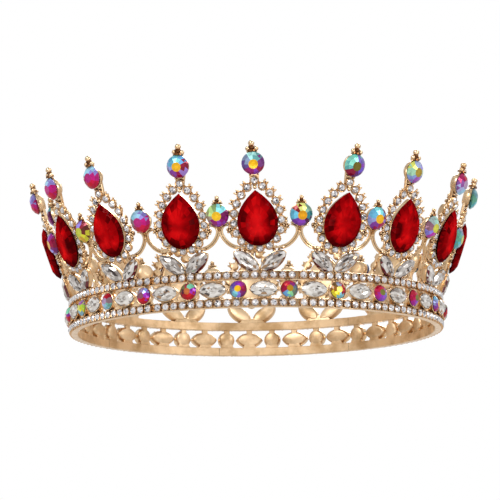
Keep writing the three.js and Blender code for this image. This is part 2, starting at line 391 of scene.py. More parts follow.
@dataclass(frozen=True)
class Ring:
    """The band's and the flare's sizes, and frames on them. They are those of the CAD castings."""

    sections: int = 8
    peaks: int = 16
    inner_radius: float = 72.6
    outer_radius: float = 75.0
    rail_height: float = 3.4
    upper_rail_z: float = 10.8
    flare_radius: float = 73.8
    flare_z: float = 13.8
    lean_at_foot: float = 20.5
    lean_per_mm: float = -0.09
    sway_pivot: float = 10.0
    seam: float = 0.12
    sway: tuple[float, ...] = (-4, 6, -3, -1, 1, 2, -3, 1, -2, 3, -1, 2, 0, 3, -5, 5)

    @property
    def section_angle(self) -> float:
        """The angle that one casting spans, in radians."""
        return TAU / self.sections

    @property
    def peak_angle(self) -> float:
        """The angle from one peak to the next, in radians."""
        return TAU / self.peaks

    def section_start(self, section: int) -> float:
        """The angle at which a casting starts. A peak stands at angle 0."""
        return section * self.section_angle - 1.5 * self.peak_angle

    def frames(self, angle: Array | float, radius: Array, z: Array, lean: Array | float) -> Array:
        """Frames on a leaning surface round the axis.

        Args:
            angle: Angles from the front, in radians.
            radius: Distances from the axis.
            z: Heights.
            lean: The surface's outward lean from the vertical, in radians.

        Returns:
            4 x 4 matrices: x to the right, y up the surface, z out of it.
        """
        angle, radius, z, lean = np.broadcast_arrays(
            *(np.asarray(value, float) for value in (angle, radius, z, lean))
        )
        zero = np.zeros(angle.shape)
        right = np.stack([np.cos(angle), np.sin(angle), zero], axis=-1)
        away = np.stack([np.sin(angle), -np.cos(angle), zero], axis=-1)
        up = away * np.sin(lean)[..., None]
        up[..., 2] = np.cos(lean)
        frames = np.zeros(angle.shape + (4, 4))
        frames[..., :3, 0], frames[..., :3, 1] = right, up
        frames[..., :3, 2] = np.cross(right, up)
        frames[..., :3, 3] = away * radius[..., None]
        frames[..., 2, 3] = z
        frames[..., 3, 3] = 1
        return frames

    def on_band(self, angle: Array | float, z: Array | float) -> Array:
        """Frames on the band's outer face, at angles from the front and heights."""
        return self.frames(angle, self.outer_radius, z, 0.0)

    def on_flare(self, angle: float, side: Array | float, height: Array | float) -> Array:
        """Frames on the flare, whose lean changes evenly with the distance up its meridian.

        Args:
            angle: A peak's or a spire's angle.
            side: Distances to the right of it.
            height: Distances up the meridian from the flare's foot.

        Returns:
            4 x 4 matrices. Radius and z are the meridian's arc: radius = foot + (cos(lean at foot)
            - cos(lean)) / rate, and z = foot + (sin(lean) - sin(lean at foot)) / rate.
        """
        foot, rate = math.radians(self.lean_at_foot), math.radians(self.lean_per_mm)
        lean = foot + rate * np.asarray(height, float)
        radius = self.flare_radius + (math.cos(foot) - np.cos(lean)) / rate
        z = self.flare_z + (np.sin(lean) - math.sin(foot)) / rate
        return self.frames(angle + np.asarray(side, float) / radius, radius, z, lean)

    def on_peak(self, peak: int, height: float) -> Array:
        """The frame at a height on a peak, which was bent sideways by its sway.

        Args:
            peak: The peak's number round the ring, 0 at the front.
            height: Distance up the peak.

        Returns:
            A 4 x 4 matrix.
        """
        sway = math.radians(self.sway[peak])
        above = height - self.sway_pivot
        side, rise = math.sin(sway) * above, self.sway_pivot + math.cos(sway) * above
        return self.on_flare(peak * self.peak_angle, side, rise) @ spun(-self.sway[peak])


# ---- Stones ----


class Facet(Enum):
    """The kinds of facet on a stone, from its middle outwards."""

    KEEL = 0
    TABLE = 1
    CROWN = 2
    RIM = 3
    WALL = 4
    BACK = 5


@dataclass(frozen=True)
class Cut:
    """A stone's outline and the scale and height of each ring of facet corners."""

    outline: Array
    table: float
    table_height: float
    rim_height: float
    waist: float | None = None
    waist_height: float = 0.0
    base: float = 0.9
    dish: float = 0.0
    keel: float | None = None

    def rings(self) -> tuple[list[Array], int]:
        """The rings of corners from the table out to the base, and the number of main facets."""
        main = self.outline[::2]
        rings = []
        if self.keel is not None:
            between = (main + np.roll(main, -1, axis=0)) / 2
            depth = np.full(len(main), self.table_height - self.dish)
            rings.append(np.column_stack([between * self.keel, depth]))
        rings.append(np.column_stack([main * self.table, np.full(len(main), self.table_height)]))
        if self.waist is not None:
            rings.append(np.column_stack([main * self.waist, np.full(len(main), self.waist_height)]))
        whole = len(self.outline)
        rings.append(np.column_stack([self.outline, np.full(whole, self.rim_height)]))
        rings.append(np.column_stack([self.outline * self.base, np.zeros(whole)]))
        return rings, len(main)

    def facets(self) -> tuple[Array, list[tuple[Facet, Array]]]:
        """Cuts the stone.

        The keel is a fan about the middle. Between it and the table's edge run triangles, between
        the table and the waist quads, and from there to the rim three triangles for each facet.

        Returns:
            Points, and faces by kind.
        """
        rings, main = self.rings()
        points = np.concatenate([[[0, 0, self.table_height - self.dish]]] + rings)
        starts = np.cumsum([1] + [len(ring) for ring in rings])
        here = np.arange(main)
        there = (here + 1) % main
        faces: list[tuple[Facet, Array]] = []
        first = starts[0]
        hub = np.zeros(main, int)
        faces.append((Facet.KEEL, np.stack([hub, first + here, first + there], axis=-1)))
        ring = 0
        if self.keel is not None:
            inner, outer = starts[0], starts[1]
            faces.append((Facet.TABLE, np.stack([inner + here, outer + here, outer + there], axis=-1)))
            faces.append((Facet.TABLE, np.stack([inner + here, outer + there, inner + there], axis=-1)))
            ring = 1
        if self.waist is not None:
            inner, outer = starts[ring], starts[ring + 1]
            quads = np.stack([inner + here, outer + here, outer + there, inner + there], axis=-1)
            faces.append((Facet.CROWN, quads))
            ring += 1
        inner, rim = starts[ring], starts[ring + 1]
        edge, middle, far = rim + 2 * here, rim + 2 * here + 1, rim + (2 * here + 2) % (2 * main)
        faces.append((Facet.RIM, np.stack([inner + here, edge, middle], axis=-1)))
        faces.append((Facet.RIM, np.stack([inner + there, middle, far], axis=-1)))
        faces.append((Facet.RIM, np.stack([inner + here, middle, inner + there], axis=-1)))
        base = starts[ring + 2]
        whole = np.arange(2 * main)
        beside = (whole + 1) % (2 * main)
        walls = np.stack([rim + whole, base + whole, base + beside, rim + beside], axis=-1)
        faces.append((Facet.WALL, walls))
        faces.append((Facet.BACK, (base + whole)[None, ::-1]))
        return points, faces

    def stones(self, frames: Array, painting: FacetPainting, rng: np.random.Generator) -> Surface:
        """Sets a stone in each frame and paints its facets with their colour and painted reflections and
        shade.

        Args:
            frames: A stack of 4 x 4 matrices.
            painting: Gives the colours of a block of facets, painted reflections and shade included.
            rng: The source of the dye's chances.

        Returns:
            One surface with every stone.
        """
        points, faces = self.facets()
        frames = np.asarray(frames, float).reshape(-1, 4, 4)
        blank = Surface(points, [(block, np.tile(PLAIN, (len(block), 1))) for _, block in faces])
        copies = blank.placed(frames)
        reach = np.abs(self.outline).max(axis=0)
        blocks = []
        moods = painting.moods(len(frames), rng)
        for (kind, block), (whole, _) in zip(faces, copies.blocks):
            corners = points[block][..., :2] / reach
            places = corners.reshape(-1, 2) if painting.by_corner else corners.mean(axis=1)
            tints = painting.colours(kind, places, moods, rng)
            blocks.append((whole, tints.reshape(-1, 3)))
        return Surface(copies.points, blocks)


class FacetPainting:
    """Colours facets, or their corners where a colour runs across a facet: the stone's own colour with
    painted reflections, highlights and shade.

    A mood is what all facets of one stone have in common.
    """

    by_corner = False

    def moods(self, count: int, rng: np.random.Generator) -> Array:
        """One mood for each stone."""
        return rng.random(count)

    def colours(self, kind: Facet, middles: Array, moods: Array, rng: np.random.Generator) -> Array:
        """Linear colours as stones x facets x 3.

        Args:
            kind: The facets' kind.
            middles: Each facet's or corner's place, as a share of the stone's half size.
            moods: One for each stone.
            rng: The source of chance.

        Returns:
            The colours.
        """
        raise NotImplementedError


@dataclass
class ClearReflections(FacetPainting):
    """Foiled clear glass whose facet shades are painted reflections: mostly white and pale grey facets,
    with a few that find something dark.
    """

    # Shades of painted reflection, bright to dark, with one warm one.
    shades: tuple[tuple[int, int, int], ...] = (
        (250, 250, 252),
        (222, 224, 232),
        (186, 190, 200),
        (140, 142, 152),
        (62, 60, 68),
        (150, 118, 92),
    )
    table_odds: tuple[float, ...] = (0.42, 0.26, 0.15, 0.08, 0.08, 0.01)
    crown_odds: tuple[float, ...] = (0.56, 0.26, 0.10, 0.04, 0.02, 0.02)
    low_reflection: tuple[int, int, int] | None = None

    def colours(self, kind: Facet, middles: Array, moods: Array, rng: np.random.Generator) -> Array:
        """Draws each facet's painted reflection by chance. Facets low on the stone may take a deeper
        colour, also a painted reflection.
        """
        odds = self.table_odds if kind in (Facet.KEEL, Facet.TABLE) else self.crown_odds
        picks = rng.choice(len(self.shades), size=(len(moods), len(middles)), p=odds)
        tints = linear(self.shades)[picks]
        tints *= rng.uniform(0.86, 1.0, tints.shape[:2])[..., None]
        # Painted reflection: low rim and wall facets may show a deep red.
        if self.low_reflection is not None and kind in (Facet.RIM, Facet.WALL):
            low = middles[:, 1] < -0.5
            struck = low[None] & (rng.random(tints.shape[:2]) < 0.7)
            tints[struck] = linear(self.low_reflection)
        if kind is Facet.BACK:
            tints[:] = linear((120, 120, 125))
        return tints


@dataclass
class RubyDye(FacetPainting):
    """Deep red glass with painted light and shade: a bright heart, a brighter band low down as a painted
    highlight, flanks in painted shade and one facet darkened by painted shade.
    """

    # The red in painted shade, in its own tone and in painted light.
    dark: tuple[int, int, int] = (72, 0, 2)
    body: tuple[int, int, int] = (178, 5, 11)
    bright: tuple[int, int, int] = (238, 20, 22)
    by_corner = True

    def colours(self, kind: Facet, middles: Array, moods: Array, rng: np.random.Generator) -> Array:
        """Brightness = glow + highlight band - shaded flanks - shaded spot + chance, all painted light
        and shade, x and y being shares of the half size.
        """
        x, y = middles[None, :, 0], middles[None, :, 1]
        lean = (moods[:, None] - 0.5) * 0.9
        painted_glow = 0.42 * np.exp(-(((x + 0.1 - 0.3 * lean) / 0.4) ** 2) - ((y - 0.2) / 0.45) ** 2)
        # A painted highlight: a bright band low on the stone.
        band = 0.55 * np.exp(-((x / 0.5) ** 2) - ((y + 0.3 - 0.2 * x * lean) / 0.1) ** 2)
        # Painted shade on the flanks and below the band, and one dark spot.
        painted_flank_shade = 0.3 * np.clip(np.abs(x) - 0.4, 0, 1) + 1.3 * np.clip(-y - 0.4, 0, 1)
        side = np.sign(moods[:, None] - 0.3)
        painted_shade_spot = 0.7 * np.exp(-(((x - 0.56 * side) / 0.15) ** 2) - ((y - 0.02) / 0.13) ** 2)
        corners = {Facet.CROWN: 4, Facet.WALL: 4, Facet.BACK: len(middles)}.get(kind, 3)
        deviation = {Facet.KEEL: 0.015, Facet.TABLE: 0.08}.get(kind, 0.17)
        chance = rng.normal(0, deviation, (len(moods), len(middles) // corners)).repeat(corners, axis=1)
        chance += rng.normal(0, 0.3 * deviation, chance.shape)
        level = np.clip(0.32 + painted_glow + band - painted_flank_shade - painted_shade_spot + chance, 0, 1)
        # Painted shade on the rim, wall and back facets.
        if kind is Facet.RIM:
            level *= 0.55
        if kind in (Facet.WALL, Facet.BACK):
            level *= 0.25
        dark, body, bright = linear(self.dark), linear(self.body), linear(self.bright)
        lower = np.clip(level * 2, 0, 1)[..., None]
        upper = np.clip(level * 2 - 1, 0, 1)[..., None]
        return dark + (body - dark) * lower + (bright - body) * upper


class Sheen(Enum):
    """The painted sheen of an iridescent stone: its table, then eight sectors clockwise from its top."""

    FROST = ((250, 192, 14), (184, 250, 246), (104, 168, 170), (130, 64, 140), (160, 20, 80),
             (150, 60, 190), (170, 30, 130), (110, 84, 160), (140, 160, 196))
    TIDE = ((250, 192, 36), (140, 234, 240), (112, 184, 242), (150, 24, 60), (176, 140, 232),
            (176, 20, 90), (140, 64, 170), (156, 164, 222), (110, 190, 228))
    LIME = ((250, 200, 40), (140, 170, 110), (150, 240, 250), (120, 20, 90), (150, 20, 130),
            (160, 60, 200), (150, 30, 120), (190, 170, 150), (200, 236, 150))
    CITRUS = ((240, 170, 20), (240, 245, 140), (130, 170, 150), (60, 140, 150), (90, 20, 90),
              (150, 70, 210), (120, 60, 180), (110, 200, 235), (130, 18, 22))
    LAGOON = ((116, 104, 34), (124, 222, 202), (130, 110, 200), (140, 60, 190), (110, 80, 210),
              (100, 30, 120), (150, 16, 60), (100, 180, 180), (150, 235, 215))
    ROSE = ((190, 40, 130), (165, 214, 246), (150, 140, 220), (200, 20, 130), (210, 10, 70),
            (200, 10, 44), (176, 30, 84), (134, 112, 122), (150, 216, 240))
    REED = ((176, 150, 50), (176, 196, 240), (150, 130, 230), (190, 220, 206), (150, 150, 226),
            (170, 96, 200), (150, 176, 240), (176, 230, 196), (222, 230, 104))
    PRISM = ((220, 220, 80), (176, 230, 214), (200, 238, 206), (200, 220, 100), (230, 220, 60),
             (190, 30, 180), (150, 140, 240), (168, 116, 140), (166, 190, 190))
    AMBER = ((200, 210, 70), (150, 130, 230), (140, 20, 50), (110, 40, 30), (226, 222, 60),
             (222, 176, 60), (180, 210, 120), (150, 180, 150), (156, 20, 60))
    PLUM = ((126, 128, 60), (190, 20, 70), (160, 90, 150), (150, 160, 214), (140, 120, 220),
            (150, 70, 200), (174, 36, 150), (190, 16, 76), (190, 8, 50))
    NOON = ((186, 172, 66), (150, 160, 190), (190, 10, 50), (190, 10, 40), (160, 20, 50),
            (140, 210, 230), (240, 220, 50), (160, 100, 30), (120, 90, 50))
    EMBER = ((200, 110, 60), (150, 40, 60), (140, 230, 190), (150, 40, 170), (200, 20, 40),
             (200, 10, 20), (180, 10, 30), (90, 30, 60), (110, 110, 60))
    NEON = ((250, 195, 20), (140, 50, 190), (170, 30, 150), (160, 16, 70), (130, 40, 120),
            (150, 140, 250), (130, 210, 230), (110, 130, 170), (100, 70, 170))
    DUSK = ((150, 96, 110), (160, 140, 190), (150, 180, 250), (170, 50, 190), (200, 10, 50),
            (205, 0, 36), (190, 10, 70), (110, 50, 84), (124, 112, 118))
    POLAR = ((190, 160, 200), (196, 0, 40), (170, 10, 40), (150, 120, 130), (130, 190, 180),
             (160, 210, 245), (190, 200, 250), (150, 90, 170), (170, 20, 90))
    MEADOW = ((210, 216, 84), (150, 150, 190), (170, 90, 180), (190, 230, 80), (232, 230, 60),
              (150, 200, 224), (90, 190, 200), (110, 186, 160), (120, 176, 190))
    DAWN = ((190, 140, 30), (190, 10, 60), (130, 20, 110), (100, 120, 150), (110, 130, 110),
            (150, 230, 170), (120, 180, 240), (160, 10, 60), (180, 20, 30))


# The stones' sheens in their order round the ring, from the first casting or the front peak.
# The band's twelve are used twice.
BAND_SHEENS = (
    Sheen.EMBER, Sheen.NEON, Sheen.DAWN, Sheen.NOON, Sheen.PLUM, Sheen.PLUM,
    Sheen.TIDE, Sheen.EMBER, Sheen.EMBER, Sheen.MEADOW, Sheen.POLAR, Sheen.DUSK,
)
CREST_SHEENS = (
    Sheen.FROST, Sheen.LAGOON, Sheen.REED, Sheen.POLAR, Sheen.MEADOW, Sheen.REED,
    Sheen.LIME, Sheen.ROSE, Sheen.TIDE, Sheen.FROST, Sheen.LAGOON, Sheen.LIME,
    Sheen.ROSE, Sheen.ROSE, Sheen.ROSE, Sheen.TIDE,
)
SPIRE_SHEENS = (
    Sheen.CITRUS, Sheen.TIDE, Sheen.PRISM, Sheen.MEADOW, Sheen.FROST, Sheen.DAWN,
    Sheen.TIDE, Sheen.EMBER, Sheen.FROST, Sheen.LIME, Sheen.CITRUS, Sheen.ROSE,
    Sheen.NEON, Sheen.AMBER, Sheen.ROSE, Sheen.LIME,
)


@dataclass
class PaintedSheen(FacetPainting):
    """Red glass with an iridescent coat, whose colour depends on which way a facet looks, painted as a
    fixed sheen on each facet.
    """

    sheens: list[Sheen]

    def moods(self, count: int, rng: np.random.Generator) -> Array:
        """A mood is the stone's place in the list of sheens, plus a chance below one."""
        return np.arange(count) + 0.999 * rng.random(count)

    def colours(self, kind: Facet, middles: Array, moods: Array, rng: np.random.Generator) -> Array:
        """A facet's sector is its clockwise angle from the top over 45 degrees, rounded."""
        palette = linear([self.sheens[int(mood)].value for mood in moods])
        turn = (moods % 1 - 0.5) * 0.4
        angle = np.arctan2(middles[None, :, 0], middles[None, :, 1]) + turn[:, None]
        rows = np.arange(len(moods))[:, None]
        if kind is Facet.KEEL:
            return palette[rows, 0] * rng.uniform(0.94, 1.1, angle.shape)[..., None]
        if kind is Facet.TABLE:
            return palette[rows, 0] * rng.uniform(0.8, 1.0, angle.shape)[..., None]
        drift = 0.28 if kind is Facet.RIM else 0.12
        sector = np.round(angle * 8 / TAU + rng.normal(0, drift, angle.shape)).astype(int) % 8
        tints = palette[rows, 1 + sector] * rng.uniform(0.8, 1.12, angle.shape)[..., None]
        # Painted shade on the rim, wall and back facets.
        if kind is Facet.RIM:
            tints *= 0.8
        if kind in (Facet.WALL, Facet.BACK):
            tints *= 0.4
        return tints


@dataclass(frozen=True)
class Cuts:
    """Every cut of stone in the crown."""

    rhinestone: Cut = Cut(circle(1.46, 16), table=0.56, table_height=1.4, rim_height=0.6, dish=0.12)
    round_drop: Cut = Cut(
        circle(4.5, 24),
        table=0.42,
        table_height=2.75,
        rim_height=0.7,
        waist=0.76,
        waist_height=1.95,
        keel=0.2,
        dish=0.05,
    )
    band_round: Cut = Cut(
        circle(3.25, 24),
        table=0.4,
        table_height=2.05,
        rim_height=0.6,
        waist=0.74,
        waist_height=1.5,
        keel=0.2,
        dish=0.04,
    )
    band_navette: Cut = Cut(
        navette(10.6, 5.9, 20),
        table=0.52,
        table_height=1.9,
        rim_height=0.6,
        waist=0.8,
        waist_height=1.4,
        keel=0.28,
        dish=0.12,
    )
    leaf: Cut = Cut(
        navette(11.9, 5.7, 20),
        table=0.54,
        table_height=2.0,
        rim_height=0.6,
        waist=0.8,
        waist_height=1.45,
        keel=0.28,
        dish=0.12,
    )
    pear: Cut = Cut(
        pear(7.95, 9.4, 12.65, 2.05, 40),
        table=0.6,
        table_height=2.9,
        rim_height=0.7,
        waist=0.84,
        waist_height=2.0,
        keel=0.34,
        dish=0.1,
    )


# ---- Metalwork ----


@dataclass(frozen=True)
class Collets:
    """The cups that hold single rhinestones, and the claws that grip them."""

    sides: int = 12
    claw_radius: float = 0.25
    claw_reach: float = 1.66
    claw_rise: float = 0.82

    def ring(self) -> Surface:
        """An open collar, for a stone on a rail."""
        loop = [(1.5, -0.5), (1.72, 0.1), (1.7, 0.72), (1.6, 0.84), (1.46, 0.72), (1.38, -0.5)]
        # Painted shade darkens the whole collar.
        return turned(loop, self.sides, closed=True).with_painted_shade(CUP_SHADE)

    def cup(self) -> Surface:
        """A cup with a solid back, for a stone in a halo."""
        wall = [(1.0, -0.95), (1.5, -0.75), (1.84, -0.1), (1.9, 0.66)]
        lip = [(1.72, 0.84), (1.44, 0.7), (1.3, 0.3)]
        # Painted shade darkens the whole cup.
        return turned(wall + lip, self.sides).with_painted_shade(CUP_SHADE)

    def claws(self) -> Surface:
        """Four small beads pressed over a stone's edge."""
        angle = np.radians(45 + 90 * np.arange(4))
        frames = shifted(self.claw_reach * np.cos(angle), self.claw_reach * np.sin(angle), self.claw_rise)
        return bead(self.claw_radius).placed(frames)


@dataclass(frozen=True)
class Rails:
    """The band's two rails: channels that carry a line of rhinestones each."""

    ring: Ring
    collets: Collets
    stones_per_section: int = 16
    steps: int = 32
    stone_seat: float = -0.1
    end_margin: float = 0.62

    def stone_angles(self, section: int) -> Array:
        """The angles of a casting's rhinestones, evenly spaced between its two ends."""
        start = self.ring.section_start(section)
        margin = self.end_margin * self.ring.section_angle / self.stones_per_section
        end = start + self.ring.section_angle
        return np.linspace(start + margin, end - margin, self.stones_per_section)

    def channel(self, section: int, foot: float) -> Surface:
        """A rail's own body: a channel profile carried round the casting's arc.

        Args:
            section: The casting's number.
            foot: Height of the rail's underside.

        Returns:
            The surface.
        """
        inner, outer, top = self.ring.inner_radius, self.ring.outer_radius + 0.3, self.ring.rail_height
        lip, floor, ease = 0.32, self.ring.outer_radius - 0.4, 0.2
        half = [
            (ease, inner),
            (top / 2, inner),
            (top - ease, inner),
            (top, inner + ease),
            (top, outer - ease),
            (top - 0.1, outer),
            (top - lip + 0.1, outer),
            (top - lip, outer - ease),
            (top - lip, floor),
            (lip, floor),
            (lip, outer - ease),
            (lip - 0.1, outer),
            (0.1, outer),
            (0, outer - ease),
            (0, inner + ease),
        ]
        rise, reach = np.asarray(half, float).T
        trim = self.ring.seam / 2 / inner
        start = self.ring.section_start(section)
        angle = np.linspace(start + trim, start + self.ring.section_angle - trim, self.steps + 1)[:, None]
        wander = 0.06 * np.sin(37 * angle + foot) + 0.05 * np.sin(91 * angle + 2 * foot)
        grid = [reach * np.sin(angle), -reach * np.cos(angle), foot + rise + np.clip(wander, 0, 1)]
        return woven(np.stack(np.broadcast_arrays(*grid), axis=-1))

    def seats(self, section: int, foot: float) -> Array:
        """Frames of a rail's rhinestones, on its middle line."""
        return self.ring.on_band(self.stone_angles(section), foot + self.ring.rail_height / 2)

    def metal(self, section: int) -> Surface:
        """Both rails with their collars and claws.

        Args:
            section: The casting's number.

        Returns:
            The surface.
        """
        parts = []
        for foot in (0.0, self.ring.upper_rail_z):
            seats = self.seats(section, foot)
            parts += [
                self.channel(section, foot),
                self.collets.ring().placed(seats),
                self.collets.claws().placed(seats),
            ]
        return Surface.joined(parts)


def cup(outline: Array, back: float, lip: float, flare: float = 0.75) -> Surface:
    """A stone's cup: a solid back, a wall that widens to the front and a lip turned over the stone.

    Args:
        outline: The lip's outline.
        back: Depth of the back.
        lip: Depth of the lip.
        flare: How much smaller the back is than the lip.

    Returns:
        A closed surface.
    """
    levels = [
        (flare + 0.5, back),
        (flare, back + 0.35),
        (flare * 0.4, back + 1.0),
        (0.0, lip - 0.5),
        (0.0, lip - 0.12),
        (0.14, lip),
        (0.32, lip - 0.08),
        (0.42, lip - 0.5),
    ]
    return lofted(outline, levels)


@dataclass(frozen=True)
class BandRow:
    """The row between the rails: a clear navette and an iridescent round, three times a casting."""

    ring: Ring
    pairs: int = 3
    round_diameter: float = 7.2
    centre_z: float = 6.85
    seat: float = 0.9

    def angles(self, section: int) -> tuple[Array, Array]:
        """The angles of a casting's navettes and of its rounds."""
        pair = self.ring.section_angle / self.pairs
        short = self.round_diameter / self.ring.outer_radius
        start = self.ring.section_start(section) + pair * np.arange(self.pairs)
        return start + (pair - short) / 2, start + pair - short / 2

    def seats(self, section: int) -> tuple[Array, Array]:
        """Frames at the middles of the navettes and of the rounds."""
        navettes, rounds = self.angles(section)
        return self.ring.on_band(navettes, self.centre_z), self.ring.on_band(rounds, self.centre_z)

    def metal(self, section: int) -> Surface:
        """Cups, claws, and the webs and stems that hold the cups between the rails.

        Args:
            section: The casting's number.

        Returns:
            The surface.
        """
        navettes, rounds = self.seats(section)
        down = self.ring.rail_height - self.centre_z - 0.2
        up = self.ring.upper_rail_z - self.centre_z + 0.3
        web = plank([(-2.9, down), (2.9, down), (2.2, down + 1.6), (-2.2, down + 1.6)], -2.0, -0.2)
        stem = plank([(-1.0, 1.6), (1.0, 1.6), (1.25, up), (-1.25, up)], -2.0, -0.5)
        long_cup = cup(navette(11.3, 6.6, 28), -2.1, 1.35, flare=0.7)
        round_cup = cup(circle(3.55, 24), -2.1, 1.35, flare=0.6)
        long_claws = beads(
            [
                (-5.35, 0, 1.35, 0.5),
                (5.35, 0, 1.35, 0.5),
                (-2.6, 2.75, 1.45, 0.33),
                (2.6, 2.75, 1.45, 0.33),
                (-2.6, -2.75, 1.45, 0.33),
                (2.6, -2.75, 1.45, 0.33),
            ]
        )
        round_claws = beads(
            [
                (0.55, 3.4, 1.4, 0.36),
                (-0.55, 3.4, 1.4, 0.36),
                (0.55, -3.4, 1.4, 0.36),
                (-0.55, -3.4, 1.4, 0.36),
            ]
        )
        return Surface.joined(
            [
                long_cup.placed(navettes),
                long_claws.placed(navettes),
                round_cup.placed(rounds),
                round_claws.placed(rounds),
                web.placed(np.concatenate([navettes, rounds])),
                stem.placed(np.concatenate([navettes, rounds])),
            ]
        )


@dataclass(frozen=True)
class Leaves:
    """The pair of leaf cups at a peak's foot, like a V, with the tie that lies on top of each."""

    ring: Ring
    height: float = 4.6
    side: float = 5.2
    tilt: float = 38.0
    seat: float = 0.8

    def seats(self, peak: int) -> Array:
        """Frames of the two leaf stones, the left one first."""
        base = self.ring.on_flare(peak * self.ring.peak_angle, 0.0, self.height)
        sides = np.array([-1.0, 1.0])
        return base @ shifted(sides * self.side, 0.0) @ spun(sides * self.tilt)

    def metal(self, peak: int) -> Surface:
        """Cups, claws at their points, the web below them and the ringed ties above them.

        Args:
            peak: The peak's number.

        Returns:
            The surface.
        """
        seats = self.seats(peak)
        base = self.ring.on_flare(peak * self.ring.peak_angle, 0.0, 0.0)
        claws = beads([(-5.85, 0, 1.2, 0.5), (5.75, 0.5, 1.2, 0.42), (5.75, -0.5, 1.2, 0.42)])
        web = plank([(-6.4, -0.7), (6.4, -0.7), (3.4, 2.3), (-3.4, 2.3)], -0.9, 0.1)
        reach = np.linspace(4.7, 9.5, 13)
        rings = 0.5 + 0.13 * np.cos(np.linspace(0, 3 * TAU, 13))
        rings[[0, -1]] = 0.3
        ties, upward = [], np.array([0, 0, 1.0])
        for hand in (-1, 1):
            path = np.stack([hand * reach, np.full(13, 9.95), np.full(13, 0.35)], axis=-1)
            ties.append(carried(circle(1.0, 8), path, upward, girth=rings))
            # Painted shade browns the beads under each tie.
            ties.append(beads([(hand * 5.6, 8.9, 0.1, 0.75), (hand * 7.6, 9.0, 0.0, 0.6)]).with_painted_shade(DEEP_SHADE))
        return Surface.joined(
            [cup(navette(12.5, 6.3, 28), -1.2, 1.25, flare=0.6).placed(seats), claws.placed(seats)]
            + [part.placed(base) for part in [web, *ties]]
        )


@dataclass(frozen=True)
class Halo:
    """The ring of rhinestones round a pear stone, and the pear's own seat."""

    ring: Ring
    collets: Collets
    datum: float = 20.1
    stones: int = 18
    half_width: float = 9.25
    below: float = 10.6
    above: float = 16.2
    power: float = 2.3
    seat: float = -0.1
    pear_seat: float = 1.2

    def outline(self, count: int) -> Array:
        """The halo's middle line, its first point at the apex."""
        return pear(self.half_width, self.below, self.above, self.power, count)

    def seats(self, peak: int) -> Array:
        """Frames of a halo's rhinestones, from the apex down the left side and up the right."""
        places = self.outline(self.stones)
        return self.ring.on_peak(peak, self.datum) @ shifted(places[:, 0], places[:, 1])

    def outward(self, places: Array) -> Array:
        """Directions away from the halo at each stone, in degrees."""
        along = np.roll(places, -1, axis=0) - np.roll(places, 1, axis=0)
        return np.degrees(np.arctan2(-along[:, 0], along[:, 1]))

    def metal(self, peak: int) -> Surface:
        """The chain of cups with its claws and outward prongs, and the pear's seat.

        Args:
            peak: The peak's number.

        Returns:
            The surface.
        """
        base = self.ring.on_peak(peak, self.datum)
        places = self.outline(self.stones)
        turns = self.outward(places)
        frames = base @ shifted(places[:, 0], places[:, 1]) @ spun(turns)
        fine = self.outline(54)
        path = np.column_stack([fine, np.full(len(fine), -0.35)])
        # Painted shade browns the wire that runs behind the cups.
        wire = carried(circle(0.7, 6), path, np.array([0, 0, 1.0]), closed=True).with_painted_shade(DEEP_SHADE)
        prongs = beads([(2.0, 0.66, 0.45, 0.52), (2.0, -0.66, 0.45, 0.52)], sides=6)
        # Painted shade darkens the beads at the prongs' roots.
        roots = beads([(1.75, 0, 0.1, 0.62)], sides=6).with_painted_shade(HOLLOW_SHADE)
        spikes = beads([(2.6, 0.8, 0.5, 0.42), (2.5, -0.66, 0.5, 0.42)], sides=6)
        high = (places[:, 1] > -4.5) & (np.abs(places[:, 0]) > 1)
        tall = (places[:, 1] > 6.0) & (np.abs(places[:, 0]) > 1)
        seat = lofted(
            pear(7.6, 9.05, 12.1, 2.0, 40),
            [(1.2, -1.1), (0.7, -0.85), (0.1, -0.1), (0, 0.9), (0.25, 1.1)],
        )
        web = plank([(-2.1, -10.6), (2.1, -10.6), (2.1, -6.5), (-2.1, -6.5)], -0.8, 0.2)
        lugs = [plank([(x, y), (x + 3.2, y), (x + 3.2, y + 1.3), (x, y + 1.3)], -0.7, 0.1)
                for x, y in ((6.3, -0.6), (-9.5, -0.6), (5.2, -6.4), (-8.4, -6.4))]
        tip = beads([(0, 13.55, 1.0, 0.82), (0, 14.3, -0.1, 0.9)])
        return Surface.joined(
            [
                self.collets.cup().placed(frames),
                self.collets.claws().placed(frames),
                prongs.placed(frames[high]),
                roots.placed(frames[high]),
                spikes.placed(frames[tall]),
            ]
            + [part.placed(base) for part in [wire, seat, web, tip, *lugs]]
        )


